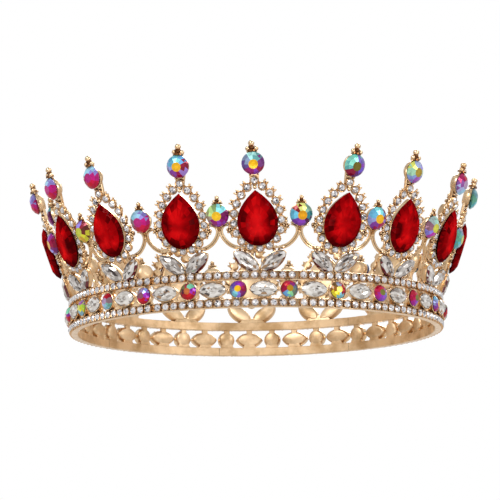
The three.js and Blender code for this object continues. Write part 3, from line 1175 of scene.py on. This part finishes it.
@dataclass(frozen=True)
class RoundSeat:
    """The seat of a crest or spire stone, with the finial that stands on it."""

    radius: float = 4.25
    stone_seat: float = 1.2
    finial_scale: float = 1.0

    def metal(self, frame: Array) -> Surface:
        """The dished seat, the cap over the stone's top, and the finial's beads.

        Args:
            frame: The seat's frame, its middle behind the stone's.

        Returns:
            The surface.
        """
        radius, size = self.radius, self.finial_scale
        dish = turned(
            [
                (1.6, -2.0),
                (2.8, -1.75),
                (radius - 0.35, -0.5),
                (radius, 0.4),
                (radius + 0.02, 0.9),
                (radius - 0.2, 1.1),
            ],
            28,
        )
        angle = np.radians(np.linspace(64, 116, 9))
        arc = np.stack([4.75 * np.cos(angle), 4.75 * np.sin(angle), np.full(9, 0.9)], axis=-1)
        girth = 0.34 + 0.3 * np.sin(np.linspace(0, math.pi, 9)) ** 0.7
        cap = carried(circle(1.0, 8), arc, np.array([0, 0, 1.0]), girth=girth * (0.5 + 0.5 * size))
        waisted = [(1.9, 0), (1.7, 0.7), (0.9, 1.15), (0.85, 1.5), (1.3, 1.8), (1.25, 2.05), (0.5, 2.3)]
        # Painted shade darkens the post between the finial's beads.
        post = turned(size * np.array(waisted), 10).with_painted_shade(HOLLOW_SHADE)
        upright = np.array([[1, 0, 0, 0], [0, 0, 1, 4.6], [0, -1, 0, 0.9], [0, 0, 0, 1.0]])
        balls = beads(
            [
                (-1.6 * size, 4.6 + 1.0 * size, 1.1, 0.92 * size),
                (1.65 * size, 4.6 + 0.8 * size, 1.1, 1.0 * size),
                (0, 4.6 + 2.95 * size, 0.9, 1.26 * size),
            ],
            sides=10,
        )
        parts = [dish, cap, post.placed(upright), balls]
        return Surface.joined([part.placed(frame) for part in parts])


@dataclass(frozen=True)
class Florets:
    """A small flower of beads on each side of a halo."""

    ring: Ring
    height: float = 17.6
    side: float = 11.1
    petals: int = 5

    def metal(self, peak: int) -> Surface:
        """A bead with five round it, and the stalk that joins them to the halo.

        Args:
            peak: The peak's number.

        Returns:
            The surface.
        """
        base = self.ring.on_peak(peak, self.height)
        angle = TAU * (np.arange(self.petals) + 0.25) / self.petals
        flower = beads(
            [(0, 0, 0.95, 0.5)]
            + [(0.98 * math.cos(turn), 0.98 * math.sin(turn), 0.6, 0.48) for turn in angle]
        )
        # Painted shade darkens the disc under each flower.
        disc = turned([(0.5, -0.5), (1.1, -0.3), (1.15, 0.2), (0.8, 0.4)], 8).with_painted_shade(HOLLOW_SHADE)
        sides = np.array([-self.side, self.side])
        stalk = plank([(-1.9, -0.35), (1.9, -0.35), (1.9, 0.35), (-1.9, 0.35)], -0.45, 0.15)
        return Surface.joined(
            [
                flower.placed(base @ shifted(sides, 0.0)),
                disc.placed(base @ shifted(sides, 0.0)),
                stalk.placed(base @ shifted(sides * 0.9, 0.0)),
            ]
        )


@dataclass(frozen=True)
class Scrolls:
    """The grooved C-shaped wires that rise from the leaves' ties, meet under each spire and curl back."""

    ring: Ring
    route: tuple[tuple[float, float], ...] = (
        (8.2, 9.9),
        (9.8, 10.3),
        (11.6, 11.3),
        (13.2, 12.8),
        (14.4, 14.6),
        (15.0, 16.3),
        (14.8, 17.9),
        (13.7, 19.0),
        (12.2, 19.2),
    )
    strand: float = 0.44
    steps: int = 30

    def metal(self, peak: int, hand: int) -> Surface:
        """One wire: two strands side by side along a smooth curve through the route.

        Args:
            peak: The peak that it starts from.
            hand: -1 for its left side, 1 for its right.

        Returns:
            The surface.
        """
        side, height = np.asarray(self.route, float).T
        knots = np.concatenate([[0], np.cumsum(np.hypot(np.diff(side), np.diff(height)))])
        knots /= knots[-1]
        fine = np.linspace(0, 1, self.steps)
        smooth = [np.polynomial.Polynomial.fit(knots, values, 6)(fine) for values in (side, height)]
        flow = np.stack([np.gradient(smooth[0]), np.gradient(smooth[1])], axis=-1)
        across = unit(flow[:, ::-1] * (-1, 1))
        strands = []
        for offset in (-0.92, 0.92):
            shift = offset * self.strand * across
            frames = self.ring.on_flare(
                peak * self.ring.peak_angle, hand * (smooth[0] + shift[:, 0]), smooth[1] + shift[:, 1]
            )
            path = frames[:, :3, 3] + 0.2 * frames[:, :3, 2]
            girth = np.full(self.steps, self.strand)
            girth[0] = girth[-1] = 0.6 * self.strand
            strands.append(carried(circle(1.0, 8), path, frames[:, :3, 2], girth=girth))
        return Surface.joined(strands)


@dataclass(frozen=True)
class Spires:
    """The low spires midway between the peaks."""

    ring: Ring
    height: float = 23.2
    seat: RoundSeat = RoundSeat(finial_scale=0.7)

    def frame(self, spire: int) -> Array:
        """The frame of a spire's seat. Spire 0 stands to the right of peak 0."""
        return self.ring.on_flare((spire + 0.5) * self.ring.peak_angle, 0.0, self.height)

    def metal(self, spire: int) -> Surface:
        """The seat, and the stem with its collar where two scrolls meet.

        Args:
            spire: The spire's number.

        Returns:
            The surface.
        """
        stem = plank([(-0.8, -8.0), (0.8, -8.0), (1.0, -3.4), (-1.0, -3.4)], -0.6, 0.2)
        collar = beads([(-0.8, -4.5, 0.2, 0.55), (0.8, -4.5, 0.2, 0.55), (0, -7.0, 0.3, 0.7)])
        # Painted shade browns the knot where the scrolls meet.
        knot = beads([(0, -5.0, 0.35, 0.9), (0, -6.1, 0.2, 0.75)]).with_painted_shade(DEEP_SHADE)
        frame = self.frame(spire)
        return Surface.joined(
            [self.seat.metal(frame), stem.placed(frame), collar.placed(frame), knot.placed(frame)]
        )


@dataclass(frozen=True)
class Crests:
    """The round seats at the peaks' tops."""

    ring: Ring
    height: float = 43.2
    seat: RoundSeat = RoundSeat()

    def frame(self, peak: int) -> Array:
        """The frame of a crest's seat."""
        return self.ring.on_peak(peak, self.height)

    def metal(self, peak: int) -> Surface:
        """The seat, and the tapered neck down to the halo's apex."""
        neck = plank([(-1.6, -7.6), (1.6, -7.6), (2.2, -2.8), (-2.2, -2.8)], -1.3, -0.1)
        shoulders = beads([(-1.5, -4.75, 0.5, 0.5), (1.5, -4.75, 0.5, 0.5)])
        frame = self.frame(peak)
        return Surface.joined([self.seat.metal(frame), neck.placed(frame), shoulders.placed(frame)])


# ---- Finishes ----


def add_node(tree: bpy.types.NodeTree, kind: str, **settings: object) -> bpy.types.Node:
    """Adds a node and sets its properties.

    Args:
        tree: The node tree.
        kind: The node's type.
        **settings: Property names and their values.

    Returns:
        The node.
    """
    node = tree.nodes.new(kind)
    for name, value in settings.items():
        setattr(node, name, value)
    return node


def set_inputs(node: bpy.types.Node, values: dict[str, object]) -> None:
    """Sets a node's sockets by name."""
    for name, value in values.items():
        node.inputs[name].default_value = value


def noise(tree: bpy.types.NodeTree, scale: float, detail: float = 3.0) -> bpy.types.NodeSocket:
    """A noise on Object coordinates.

    Args:
        tree: The node tree.
        scale: Waves per metre.
        detail: Octaves.

    Returns:
        The noise's value socket, about 0.5.
    """
    place = add_node(tree, "ShaderNodeTexCoord")
    grain = add_node(tree, "ShaderNodeTexNoise")
    set_inputs(grain, {"Scale": scale, "Detail": detail, "Roughness": 0.6})
    tree.links.new(place.outputs["Object"], grain.inputs["Vector"])
    return grain.outputs["Fac"]


def ranged(
    tree: bpy.types.NodeTree, source: bpy.types.NodeSocket, bounds: tuple[float, ...]
) -> bpy.types.NodeSocket:
    """Maps a value from one range to another.

    Args:
        tree: The node tree.
        source: The value.
        bounds: From low, from high, to low, to high.

    Returns:
        The mapped value's socket.
    """
    node = add_node(tree, "ShaderNodeMapRange")
    for socket, value in zip(("From Min", "From Max", "To Min", "To Max"), bounds):
        node.inputs[socket].default_value = value
    tree.links.new(source, node.inputs["Value"])
    return node.outputs["Result"]


def mixed(
    tree: bpy.types.NodeTree,
    factor: bpy.types.NodeSocket,
    first: tuple | bpy.types.NodeSocket,
    second: tuple | bpy.types.NodeSocket,
    blend: str = "MIX",
) -> bpy.types.NodeSocket:
    """Mixes two colours.

    Args:
        tree: The node tree.
        factor: The share of the second.
        first: A linear colour or a socket.
        second: A linear colour or a socket.
        blend: How they are mixed.

    Returns:
        The colour's socket.
    """
    node = add_node(tree, "ShaderNodeMix", data_type="RGBA", blend_type=blend)
    tree.links.new(factor, node.inputs[0])
    for index, colour in ((6, first), (7, second)):
        if isinstance(colour, tuple):
            node.inputs[index].default_value = (*colour, 1.0)
        else:
            tree.links.new(colour, node.inputs[index])
    return node.outputs[2]


@dataclass(frozen=True)
class GiltFinish:
    """Champagne gold plate on a fine cast surface, made darker and browner in its recesses by painted
    shade.
    """

    name: str = "gilt"
    face: tuple[float, float, float] = (0.86, 0.65, 0.42)
    deep: tuple[float, float, float] = (0.72, 0.47, 0.24)
    sand: tuple[float, float, float] = (0.79, 0.59, 0.375)
    silt: tuple[float, float, float] = (0.50, 0.33, 0.17)
    recess_shade: tuple[float, float, float] = (0.25, 0.15, 0.08)
    recess_shade_reach: float = 0.9 * MM

    def material(self) -> bpy.types.Material:
        """The plate's colour varies slowly, and painted shade browns it in recesses and by a face's tint.
        """
        material = bpy.data.materials.new(self.name)
        material.use_nodes = True
        tree = material.node_tree
        shader = tree.nodes["Principled BSDF"]
        set_inputs(shader, {"Metallic": 1.0, "Roughness": 0.25})
        broad = ranged(tree, noise(tree, 260.0), (0.35, 0.68, 0.0, 1.0))
        inward = self.inwardness(tree)
        uneven = ranged(tree, noise(tree, 120.0, 5.0), (0.42, 0.66, 0.0, 1.0))
        back = mixed(tree, uneven, self.sand, self.silt)
        colour = mixed(tree, inward, mixed(tree, broad, self.face, self.deep), back)
        # Painted shade: an occlusion test darkens the colour towards a shade brown in recesses.
        shade = add_node(tree, "ShaderNodeAmbientOcclusion", samples=6)
        shade.inputs["Distance"].default_value = self.recess_shade_reach
        depth = ranged(tree, shade.outputs["AO"], (0.18, 0.72, 1.0, 0.0))
        # Painted shade: except on faces turned inwards, the colour is multiplied by each face's tint.
        shaded_colour = add_node(tree, "ShaderNodeVectorMath", operation="MULTIPLY")
        tree.links.new(mixed(tree, depth, colour, self.recess_shade), shaded_colour.inputs[0])
        tint = add_node(tree, "ShaderNodeAttribute", attribute_name="tint")
        tree.links.new(mixed(tree, inward, tint.outputs["Color"], (1.0, 1.0, 1.0)), shaded_colour.inputs[1])
        tree.links.new(shaded_colour.outputs[0], shader.inputs["Base Color"])
        rough = add_node(tree, "ShaderNodeMath", operation="MULTIPLY_ADD")
        rough.inputs[1].default_value = 0.24
        tree.links.new(inward, rough.inputs[0])
        tree.links.new(ranged(tree, noise(tree, 900.0), (0.3, 0.7, 0.18, 0.32)), rough.inputs[2])
        tree.links.new(rough.outputs[0], shader.inputs["Roughness"])
        bump = add_node(tree, "ShaderNodeBump")
        set_inputs(bump, {"Strength": 0.2, "Distance": 0.1 * MM})
        tree.links.new(noise(tree, 700.0, 3.0), bump.inputs["Height"])
        tree.links.new(bump.outputs["Normal"], shader.inputs["Normal"])
        return material

    def inwardness(self, tree: bpy.types.NodeTree) -> bpy.types.NodeSocket:
        """How far a face is turned to the ring's axis: the normal times the place, from 0 to 1."""
        place = add_node(tree, "ShaderNodeTexCoord")
        along = add_node(tree, "ShaderNodeVectorMath", operation="DOT_PRODUCT")
        tree.links.new(place.outputs["Object"], along.inputs[0])
        tree.links.new(place.outputs["Normal"], along.inputs[1])
        return ranged(tree, along.outputs["Value"], (-0.01, -0.05, 0.0, 1.0))


@dataclass(frozen=True)
class GlassFinish:
    """Foil-backed cut glass. Each facet's colour is its tint: the stone's colour with the painted
    reflection that the foil behind it would throw.
    """

    name: str
    metallic: float
    roughness: float
    coat: float
    specular: float = 0.5
    flicker: float = 0.16
    shade_cloud: float = 700.0
    shadow: tuple[float, float, float] = (0.02, 0.015, 0.02)

    def material(self) -> bpy.types.Material:
        """The tint, with patches of painted shade within each facet, under a clear coat."""
        material = bpy.data.materials.new(self.name)
        material.use_nodes = True
        tree = material.node_tree
        shader = tree.nodes["Principled BSDF"]
        set_inputs(
            shader,
            {
                "Metallic": self.metallic,
                "Roughness": self.roughness,
                "Coat Weight": self.coat,
                "Coat Roughness": 0.03,
                "Specular IOR Level": self.specular,
                "IOR": 1.55,
            },
        )
        tint = add_node(tree, "ShaderNodeAttribute", attribute_name="tint")
        # Painted shade: a noise darkens patches of each facet towards the shadow colour.
        shade_cloud = ranged(tree, noise(tree, self.shade_cloud, 2.0), (0.35, 0.65, 0.0, self.flicker))
        colour = mixed(tree, shade_cloud, tint.outputs["Color"], self.shadow)
        tree.links.new(colour, shader.inputs["Base Color"])
        spread = (0.3, 0.7, self.roughness * 0.7, self.roughness * 1.5)
        rough = ranged(tree, noise(tree, 1300.0, 2.0), spread)
        tree.links.new(rough, shader.inputs["Roughness"])
        return material


RUBY = GlassFinish(
    "ruby_glass",
    metallic=0.0,
    roughness=0.16,
    coat=0.02,
    specular=0.0,
    flicker=0.45,
    shade_cloud=170.0,
    shadow=(0.035, 0.0, 0.001),
)
IRIDESCENT = GlassFinish("iridescent_glass", metallic=0.25, roughness=0.12, coat=0.22, specular=0.15)
CLEAR = GlassFinish("clear_glass", metallic=0.4, roughness=0.12, coat=0.5)


@dataclass
class Finishes:
    """One material of each finish, made once."""

    gilt: bpy.types.Material = field(default_factory=GiltFinish().material)
    ruby: bpy.types.Material = field(default_factory=RUBY.material)
    iridescent: bpy.types.Material = field(default_factory=IRIDESCENT.material)
    clear: bpy.types.Material = field(default_factory=CLEAR.material)


# ---- Pieces ----


def write_mesh(
    name: str, surface: Surface, material: bpy.types.Material, smooth: float | None
) -> bpy.types.Object:
    """Makes an object at the origin from a surface, in metres, with the tints as a colour attribute.

    Args:
        name: The piece's name.
        surface: The surface, in millimetres.
        material: Its material.
        smooth: The angle in degrees under which edges are smoothed, or None for flat facets.

    Returns:
        The object.
    """
    mesh = bpy.data.meshes.new(name)
    sizes = np.concatenate([np.full(len(faces), faces.shape[1]) for faces, _ in surface.blocks])
    corners = np.concatenate([faces.ravel() for faces, _ in surface.blocks])
    tints = np.concatenate(
        [np.repeat(tints, faces.size // len(tints), axis=0) for faces, tints in surface.blocks]
    )
    mesh.vertices.add(len(surface.points))
    mesh.vertices.foreach_set("co", (surface.points * MM).ravel())
    mesh.loops.add(len(corners))
    mesh.loops.foreach_set("vertex_index", corners.astype(np.int32))
    mesh.polygons.add(len(sizes))
    mesh.polygons.foreach_set("loop_start", (np.cumsum(sizes) - sizes).astype(np.int32))
    mesh.polygons.foreach_set("loop_total", sizes.astype(np.int32))
    mesh.update(calc_edges=True)
    mesh.polygons.foreach_set("use_smooth", np.full(len(sizes), smooth is not None))
    layer = mesh.attributes.new("tint", "FLOAT_COLOR", "CORNER")
    layer.data.foreach_set("color", np.column_stack([tints, np.ones(len(tints))]).ravel())
    if mesh.validate():
        LOG.warning("%s had faces that were mended", name)
    if smooth is not None:
        mesh.set_sharp_from_angle(angle=math.radians(smooth))
    mesh.materials.append(material)
    piece = bpy.data.objects.new(name, mesh)
    bpy.context.scene.collection.objects.link(piece)
    return piece


@dataclass
class Crown:
    """The whole crown: it lays out the castings and sets the stones."""

    finishes: Finishes
    ring: Ring = field(default_factory=Ring)
    cuts: Cuts = field(default_factory=Cuts)
    rng: np.random.Generator = field(default_factory=lambda: np.random.default_rng(SEED))

    def __post_init__(self) -> None:
        """Makes the parts that share the ring."""
        collets = Collets()
        self.rails = Rails(self.ring, collets)
        self.row = BandRow(self.ring)
        self.leaves = Leaves(self.ring)
        self.halo = Halo(self.ring, collets)
        self.florets = Florets(self.ring)
        self.scrolls = Scrolls(self.ring)
        self.spires = Spires(self.ring)
        self.crests = Crests(self.ring)

    def keep(
        self,
        name: str,
        surface: Surface,
        material: bpy.types.Material,
        stands_for: str | None = None,
        smooth: float | None = None,
    ) -> None:
        """Writes a piece, lets it ride on the crown's body and reports it.

        Args:
            name: The piece's name.
            surface: Its surface.
            material: Its material.
            stands_for: The CAD node that it replaces.
            smooth: The smoothing angle, or None for flat facets.
        """
        piece = write_mesh(name, surface, material, smooth)
        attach(piece, "root")
        if stands_for is not None:
            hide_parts(stands_for)
        LOG.info("%s: %d faces", name, len(piece.data.polygons))

    def peaks_of(self, section: int) -> list[int]:
        """The numbers of a casting's two peaks. Peak 0 is the first casting's second."""
        return [(2 * section - 1 + i) % self.ring.peaks for i in range(2)]

    def casting(self, section: int) -> Surface:
        """All the metal of one casting.

        Args:
            section: The casting's number.

        Returns:
            The surface.
        """
        parts = [self.rails.metal(section), self.row.metal(section)]
        for peak in self.peaks_of(section):
            parts += [
                self.leaves.metal(peak),
                self.halo.metal(peak),
                self.florets.metal(peak),
                self.crests.metal(peak),
                self.spires.metal(peak),
                self.scrolls.metal(peak, -1),
                self.scrolls.metal(peak, 1),
            ]
        return Surface.joined(parts)

    def seated(self, frames: Array, height: float, tilt: float = 0.0) -> Array:
        """Frames for stones: a seat's frames lifted to the stones' backs and tilted by chance.

        Args:
            frames: The seats' frames.
            height: The stones' backs above the seats' frames.
            tilt: The standard deviation of their tilt, in degrees.

        Returns:
            A stack of 4 x 4 matrices.
        """
        frames = np.asarray(frames).reshape(-1, 4, 4)
        return frames @ shifted(0.0, 0.0, height) @ tilted(self.rng, len(frames), tilt)

    def build_castings(self) -> None:
        """Makes the eight castings, each in place of its plain solid."""
        for section in range(self.ring.sections):
            label = section + 1
            surface = self.casting(section)
            self.keep(f"gilt_casting_{label}", surface, self.finishes.gilt,
                      f"casting_{label}", smooth=38.0)

    def build_rhinestones(self, name: str, seats: Array, height: float, painting: FacetPainting) -> None:
        """Sets a line of rhinestones, each turned and tilted by chance.

        Args:
            name: The piece's name.
            seats: The frames of their seats.
            height: The stones' backs above the seats' frames.
            painting: Their colours, with painted reflections.
        """
        frames = self.seated(seats, height, RHINESTONE_TILT)
        frames = frames @ spun(self.rng.uniform(0, 45, len(frames)))
        stones = self.cuts.rhinestone.stones(frames, painting, self.rng)
        self.keep(name, stones, self.finishes.clear)

    def build_band_stones(self) -> None:
        """Sets the rails' rhinestones and the band row's navettes and rounds."""
        # Painted reflections of the clear stones: plain for the rhinestones, warmer for the navettes.
        white = ClearReflections()
        warm_reflections = ClearReflections(
            shades=(
                (248, 247, 244),
                (222, 218, 212),
                (190, 184, 178),
                (146, 138, 132),
                (78, 70, 66),
                (180, 144, 108),
            ),
            table_odds=(0.3, 0.3, 0.2, 0.1, 0.06, 0.04),
            crown_odds=(0.34, 0.3, 0.2, 0.08, 0.03, 0.05),
        )
        for section in range(self.ring.sections):
            label = section + 1
            for rail, foot in (("lower", 0.0), ("upper", self.ring.upper_rail_z)):
                seats = self.rails.seats(section, foot)
                name = f"{rail}_rail_rhinestones_{label}"
                self.build_rhinestones(name, seats, self.rails.stone_seat, white)
            navettes, rounds = self.row.seats(section)
            frames = self.seated(navettes, self.row.seat, 2.0)
            stones = self.cuts.band_navette.stones(frames, warm_reflections, self.rng)
            self.keep(f"band_navettes_{label}", stones, self.finishes.clear)
            picks = [BAND_SHEENS[(3 * section + i) % len(BAND_SHEENS)] for i in range(self.row.pairs)]
            frames = self.seated(rounds, self.row.seat, 3.0)
            stones = self.cuts.band_round.stones(frames, PaintedSheen(picks), self.rng)
            self.keep(f"band_rounds_{label}", stones, self.finishes.iridescent)

    def build_peak_stones(self) -> None:
        """Sets each peak's leaves, halo, pear and crest stones, and the spires' stones."""
        # Painted reflections of the halo's rhinestones, and darker ones for the leaf stones.
        grey = ClearReflections(
            table_odds=(0.32, 0.26, 0.18, 0.1, 0.11, 0.03),
            crown_odds=(0.4, 0.27, 0.16, 0.08, 0.05, 0.04),
        )
        dim_reflections = ClearReflections(
            shades=(
                (246, 245, 244),
                (214, 210, 206),
                (178, 172, 168),
                (134, 126, 122),
                (70, 62, 60),
                (168, 132, 96),
            ),
            table_odds=(0.2, 0.24, 0.22, 0.15, 0.11, 0.08),
            crown_odds=(0.2, 0.27, 0.23, 0.14, 0.06, 0.1),
            low_reflection=(104, 12, 30),
        )
        for peak in range(self.ring.peaks):
            label = f"{peak + 1:02d}"
            frames = self.seated(self.leaves.seats(peak), self.leaves.seat, 1.5)
            stones = self.cuts.leaf.stones(frames, dim_reflections, self.rng)
            self.keep(f"leaf_stones_{label}", stones, self.finishes.clear)
            name = f"halo_rhinestones_{label}"
            self.build_rhinestones(name, self.halo.seats(peak), self.halo.seat, grey)
            frames = self.seated(self.ring.on_peak(peak, self.halo.datum), self.halo.pear_seat)
            stones = self.cuts.pear.stones(frames, RubyDye(), self.rng)
            self.keep(f"ruby_pear_{label}", stones, self.finishes.ruby,
                      f"pear_stone_{label}")
            for name, node, frame, pick in (
                ("crest_round", "crest_stone", self.crests.frame(peak), CREST_SHEENS[peak]),
                ("spire_round", "spire_stone", self.spires.frame(peak), SPIRE_SHEENS[peak]),
            ):
                frames = self.seated(frame, RoundSeat.stone_seat, 2.0)
                stones = self.cuts.round_drop.stones(frames, PaintedSheen([pick]), self.rng)
                self.keep(f"{name}_{label}", stones, self.finishes.iridescent,
                          f"{node}_{label}")

    def build(self) -> None:
        """Makes every piece."""
        self.build_castings()
        self.build_band_stones()
        self.build_peak_stones()


# ---- The studio ----


@dataclass(frozen=True)
class Studio:
    """A pale floor, soft lights and the camera."""

    floor_size: float = 6.0
    floor_gap: float = 0.0012
    azimuth: float = -1.29
    elevation: float = -8.94
    roll: float = -0.97
    distance: float = 1.575
    field_of_view: float = 7.417
    aim: tuple[float, float, float] = (-0.00203, 0.0, 0.03412)

    def build_floor(self) -> None:
        """A pale sheet just under the crown, which only shows from above and lets light through."""
        mesh = bpy.data.meshes.new("floor")
        half = self.floor_size / 2
        square = ((-half, -half), (half, -half), (half, half), (-half, half))
        corners = [(x, y, -self.floor_gap) for x, y in square]
        mesh.from_pydata(corners, [], [(0, 1, 2, 3)])
        material = bpy.data.materials.new("pale_floor")
        material.use_nodes = True
        tree = material.node_tree
        shader = tree.nodes["Principled BSDF"]
        set_inputs(shader, {"Base Color": (0.86, 0.85, 0.84, 1.0), "Roughness": 0.65})
        side = add_node(tree, "ShaderNodeNewGeometry")
        through = add_node(tree, "ShaderNodeBsdfTransparent")
        either = add_node(tree, "ShaderNodeMixShader")
        ray = add_node(tree, "ShaderNodeLightPath")
        hidden = add_node(tree, "ShaderNodeMath", operation="SUBTRACT", use_clamp=True)
        tree.links.new(ray.outputs["Is Camera Ray"], hidden.inputs[0])
        tree.links.new(side.outputs["Backfacing"], hidden.inputs[1])
        tree.links.new(hidden.outputs[0], either.inputs[0])
        tree.links.new(through.outputs[0], either.inputs[1])
        tree.links.new(shader.outputs[0], either.inputs[2])
        tree.links.new(either.outputs[0], tree.nodes["Material Output"].inputs["Surface"])
        mesh.materials.append(material)
        floor = bpy.data.objects.new("floor", mesh)
        bpy.context.scene.collection.objects.link(floor)

    def build_world(self) -> None:
        """White to the camera. To the crown it is a pale room with dim patches, dimmer below."""
        world = bpy.data.worlds.new("studio")
        bpy.context.scene.world = world
        world.use_nodes = True
        tree = world.node_tree
        tree.nodes.clear()
        ray = add_node(tree, "ShaderNodeLightPath")
        place = add_node(tree, "ShaderNodeTexCoord")
        split = add_node(tree, "ShaderNodeSeparateXYZ")
        tree.links.new(place.outputs["Generated"], split.inputs[0])
        rise = ranged(tree, split.outputs["Z"], (-0.5, 0.8, 0.0, 1.0))
        patches = add_node(tree, "ShaderNodeTexNoise")
        set_inputs(patches, {"Scale": 2.3, "Detail": 1.0})
        tree.links.new(place.outputs["Generated"], patches.inputs["Vector"])
        overhead = ranged(tree, split.outputs["Z"], (-0.3, 0.1, 0.15, 1.0))
        dim = add_node(tree, "ShaderNodeMath", operation="MULTIPLY")
        tree.links.new(ranged(tree, patches.outputs["Fac"], (0.46, 0.58, 0.0, 0.75)), dim.inputs[0])
        tree.links.new(overhead, dim.inputs[1])
        dim = dim.outputs[0]
        room = mixed(tree, rise, (0.82, 0.78, 0.74), (1.0, 1.0, 1.0))
        room = mixed(tree, dim, room, (0.10, 0.08, 0.07))
        backs = []
        for colour, strength in ((room, 0.98), ((1.0, 1.0, 1.0), 1.0)):
            back = add_node(tree, "ShaderNodeBackground")
            back.inputs["Strength"].default_value = strength
            if isinstance(colour, tuple):
                back.inputs["Color"].default_value = (*colour, 1.0)
            else:
                tree.links.new(colour, back.inputs["Color"])
            backs.append(back)
        either = add_node(tree, "ShaderNodeMixShader")
        tree.links.new(ray.outputs["Is Camera Ray"], either.inputs[0])
        tree.links.new(backs[0].outputs[0], either.inputs[1])
        tree.links.new(backs[1].outputs[0], either.inputs[2])
        out = add_node(tree, "ShaderNodeOutputWorld")
        tree.links.new(either.outputs[0], out.inputs["Surface"])

    def build_light(
        self, name: str, place: tuple[float, float, float], size: float, power: float
    ) -> None:
        """A square soft light that faces the crown.

        Args:
            name: Its name.
            place: Where it stands, in metres.
            size: Its side, in metres.
            power: Its power, in watts.
        """
        lamp = bpy.data.lights.new(name, "AREA")
        lamp.size, lamp.energy = size, power
        light = bpy.data.objects.new(name, lamp)
        bpy.context.scene.collection.objects.link(light)
        toward = np.array([0, 0, 0.03]) - np.array(place)
        light.location = place
        light.rotation_euler = facing(toward)

    def build_camera(self) -> None:
        """A long lens that looks a little upwards from under the band's level."""
        camera = bpy.data.objects.new("camera", bpy.data.cameras.new("camera"))
        camera.data.angle = math.radians(self.field_of_view)
        camera.data.clip_start = 0.05
        bpy.context.scene.collection.objects.link(camera)
        turn, rise = math.radians(self.azimuth), math.radians(self.elevation)
        level_part = math.cos(rise)
        away = np.array([math.sin(turn) * level_part, -math.cos(turn) * level_part, math.sin(rise)])
        camera.location = np.array(self.aim) + self.distance * away
        level = facing(-away)
        level.rotate_axis("Z", math.radians(self.roll))
        camera.rotation_euler = level
        bpy.context.scene.camera = camera

    def build(self) -> None:
        """Makes the whole studio."""
        bpy.context.scene.view_settings.view_transform = "Standard"
        self.build_floor()
        self.build_world()
        self.build_light("key", (-0.55, -0.75, 0.75), 0.45, 7.0)
        self.build_light("fill", (0.75, -0.6, 0.35), 0.35, 3.0)
        self.build_light("low_card", (0.1, -0.9, -0.25), 0.3, 1.0)
        self.build_light("back", (0.2, 0.8, 0.6), 0.5, 6.0)
        self.build_camera()


def facing(toward: Array) -> Euler:
    """The rotation that turns a light's or a camera's -Z along a direction, with its top up."""
    return Vector(toward.tolist()).to_track_quat("-Z", "Y").to_euler()


# ---- Assembly ----


def main() -> None:
    """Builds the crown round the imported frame, and its studio."""
    logging.basicConfig(level=logging.INFO, format="%(name)s %(message)s")
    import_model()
    Studio().build()
    Crown(Finishes()).build()
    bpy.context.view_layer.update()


if __name__ == "__main__":
    main()
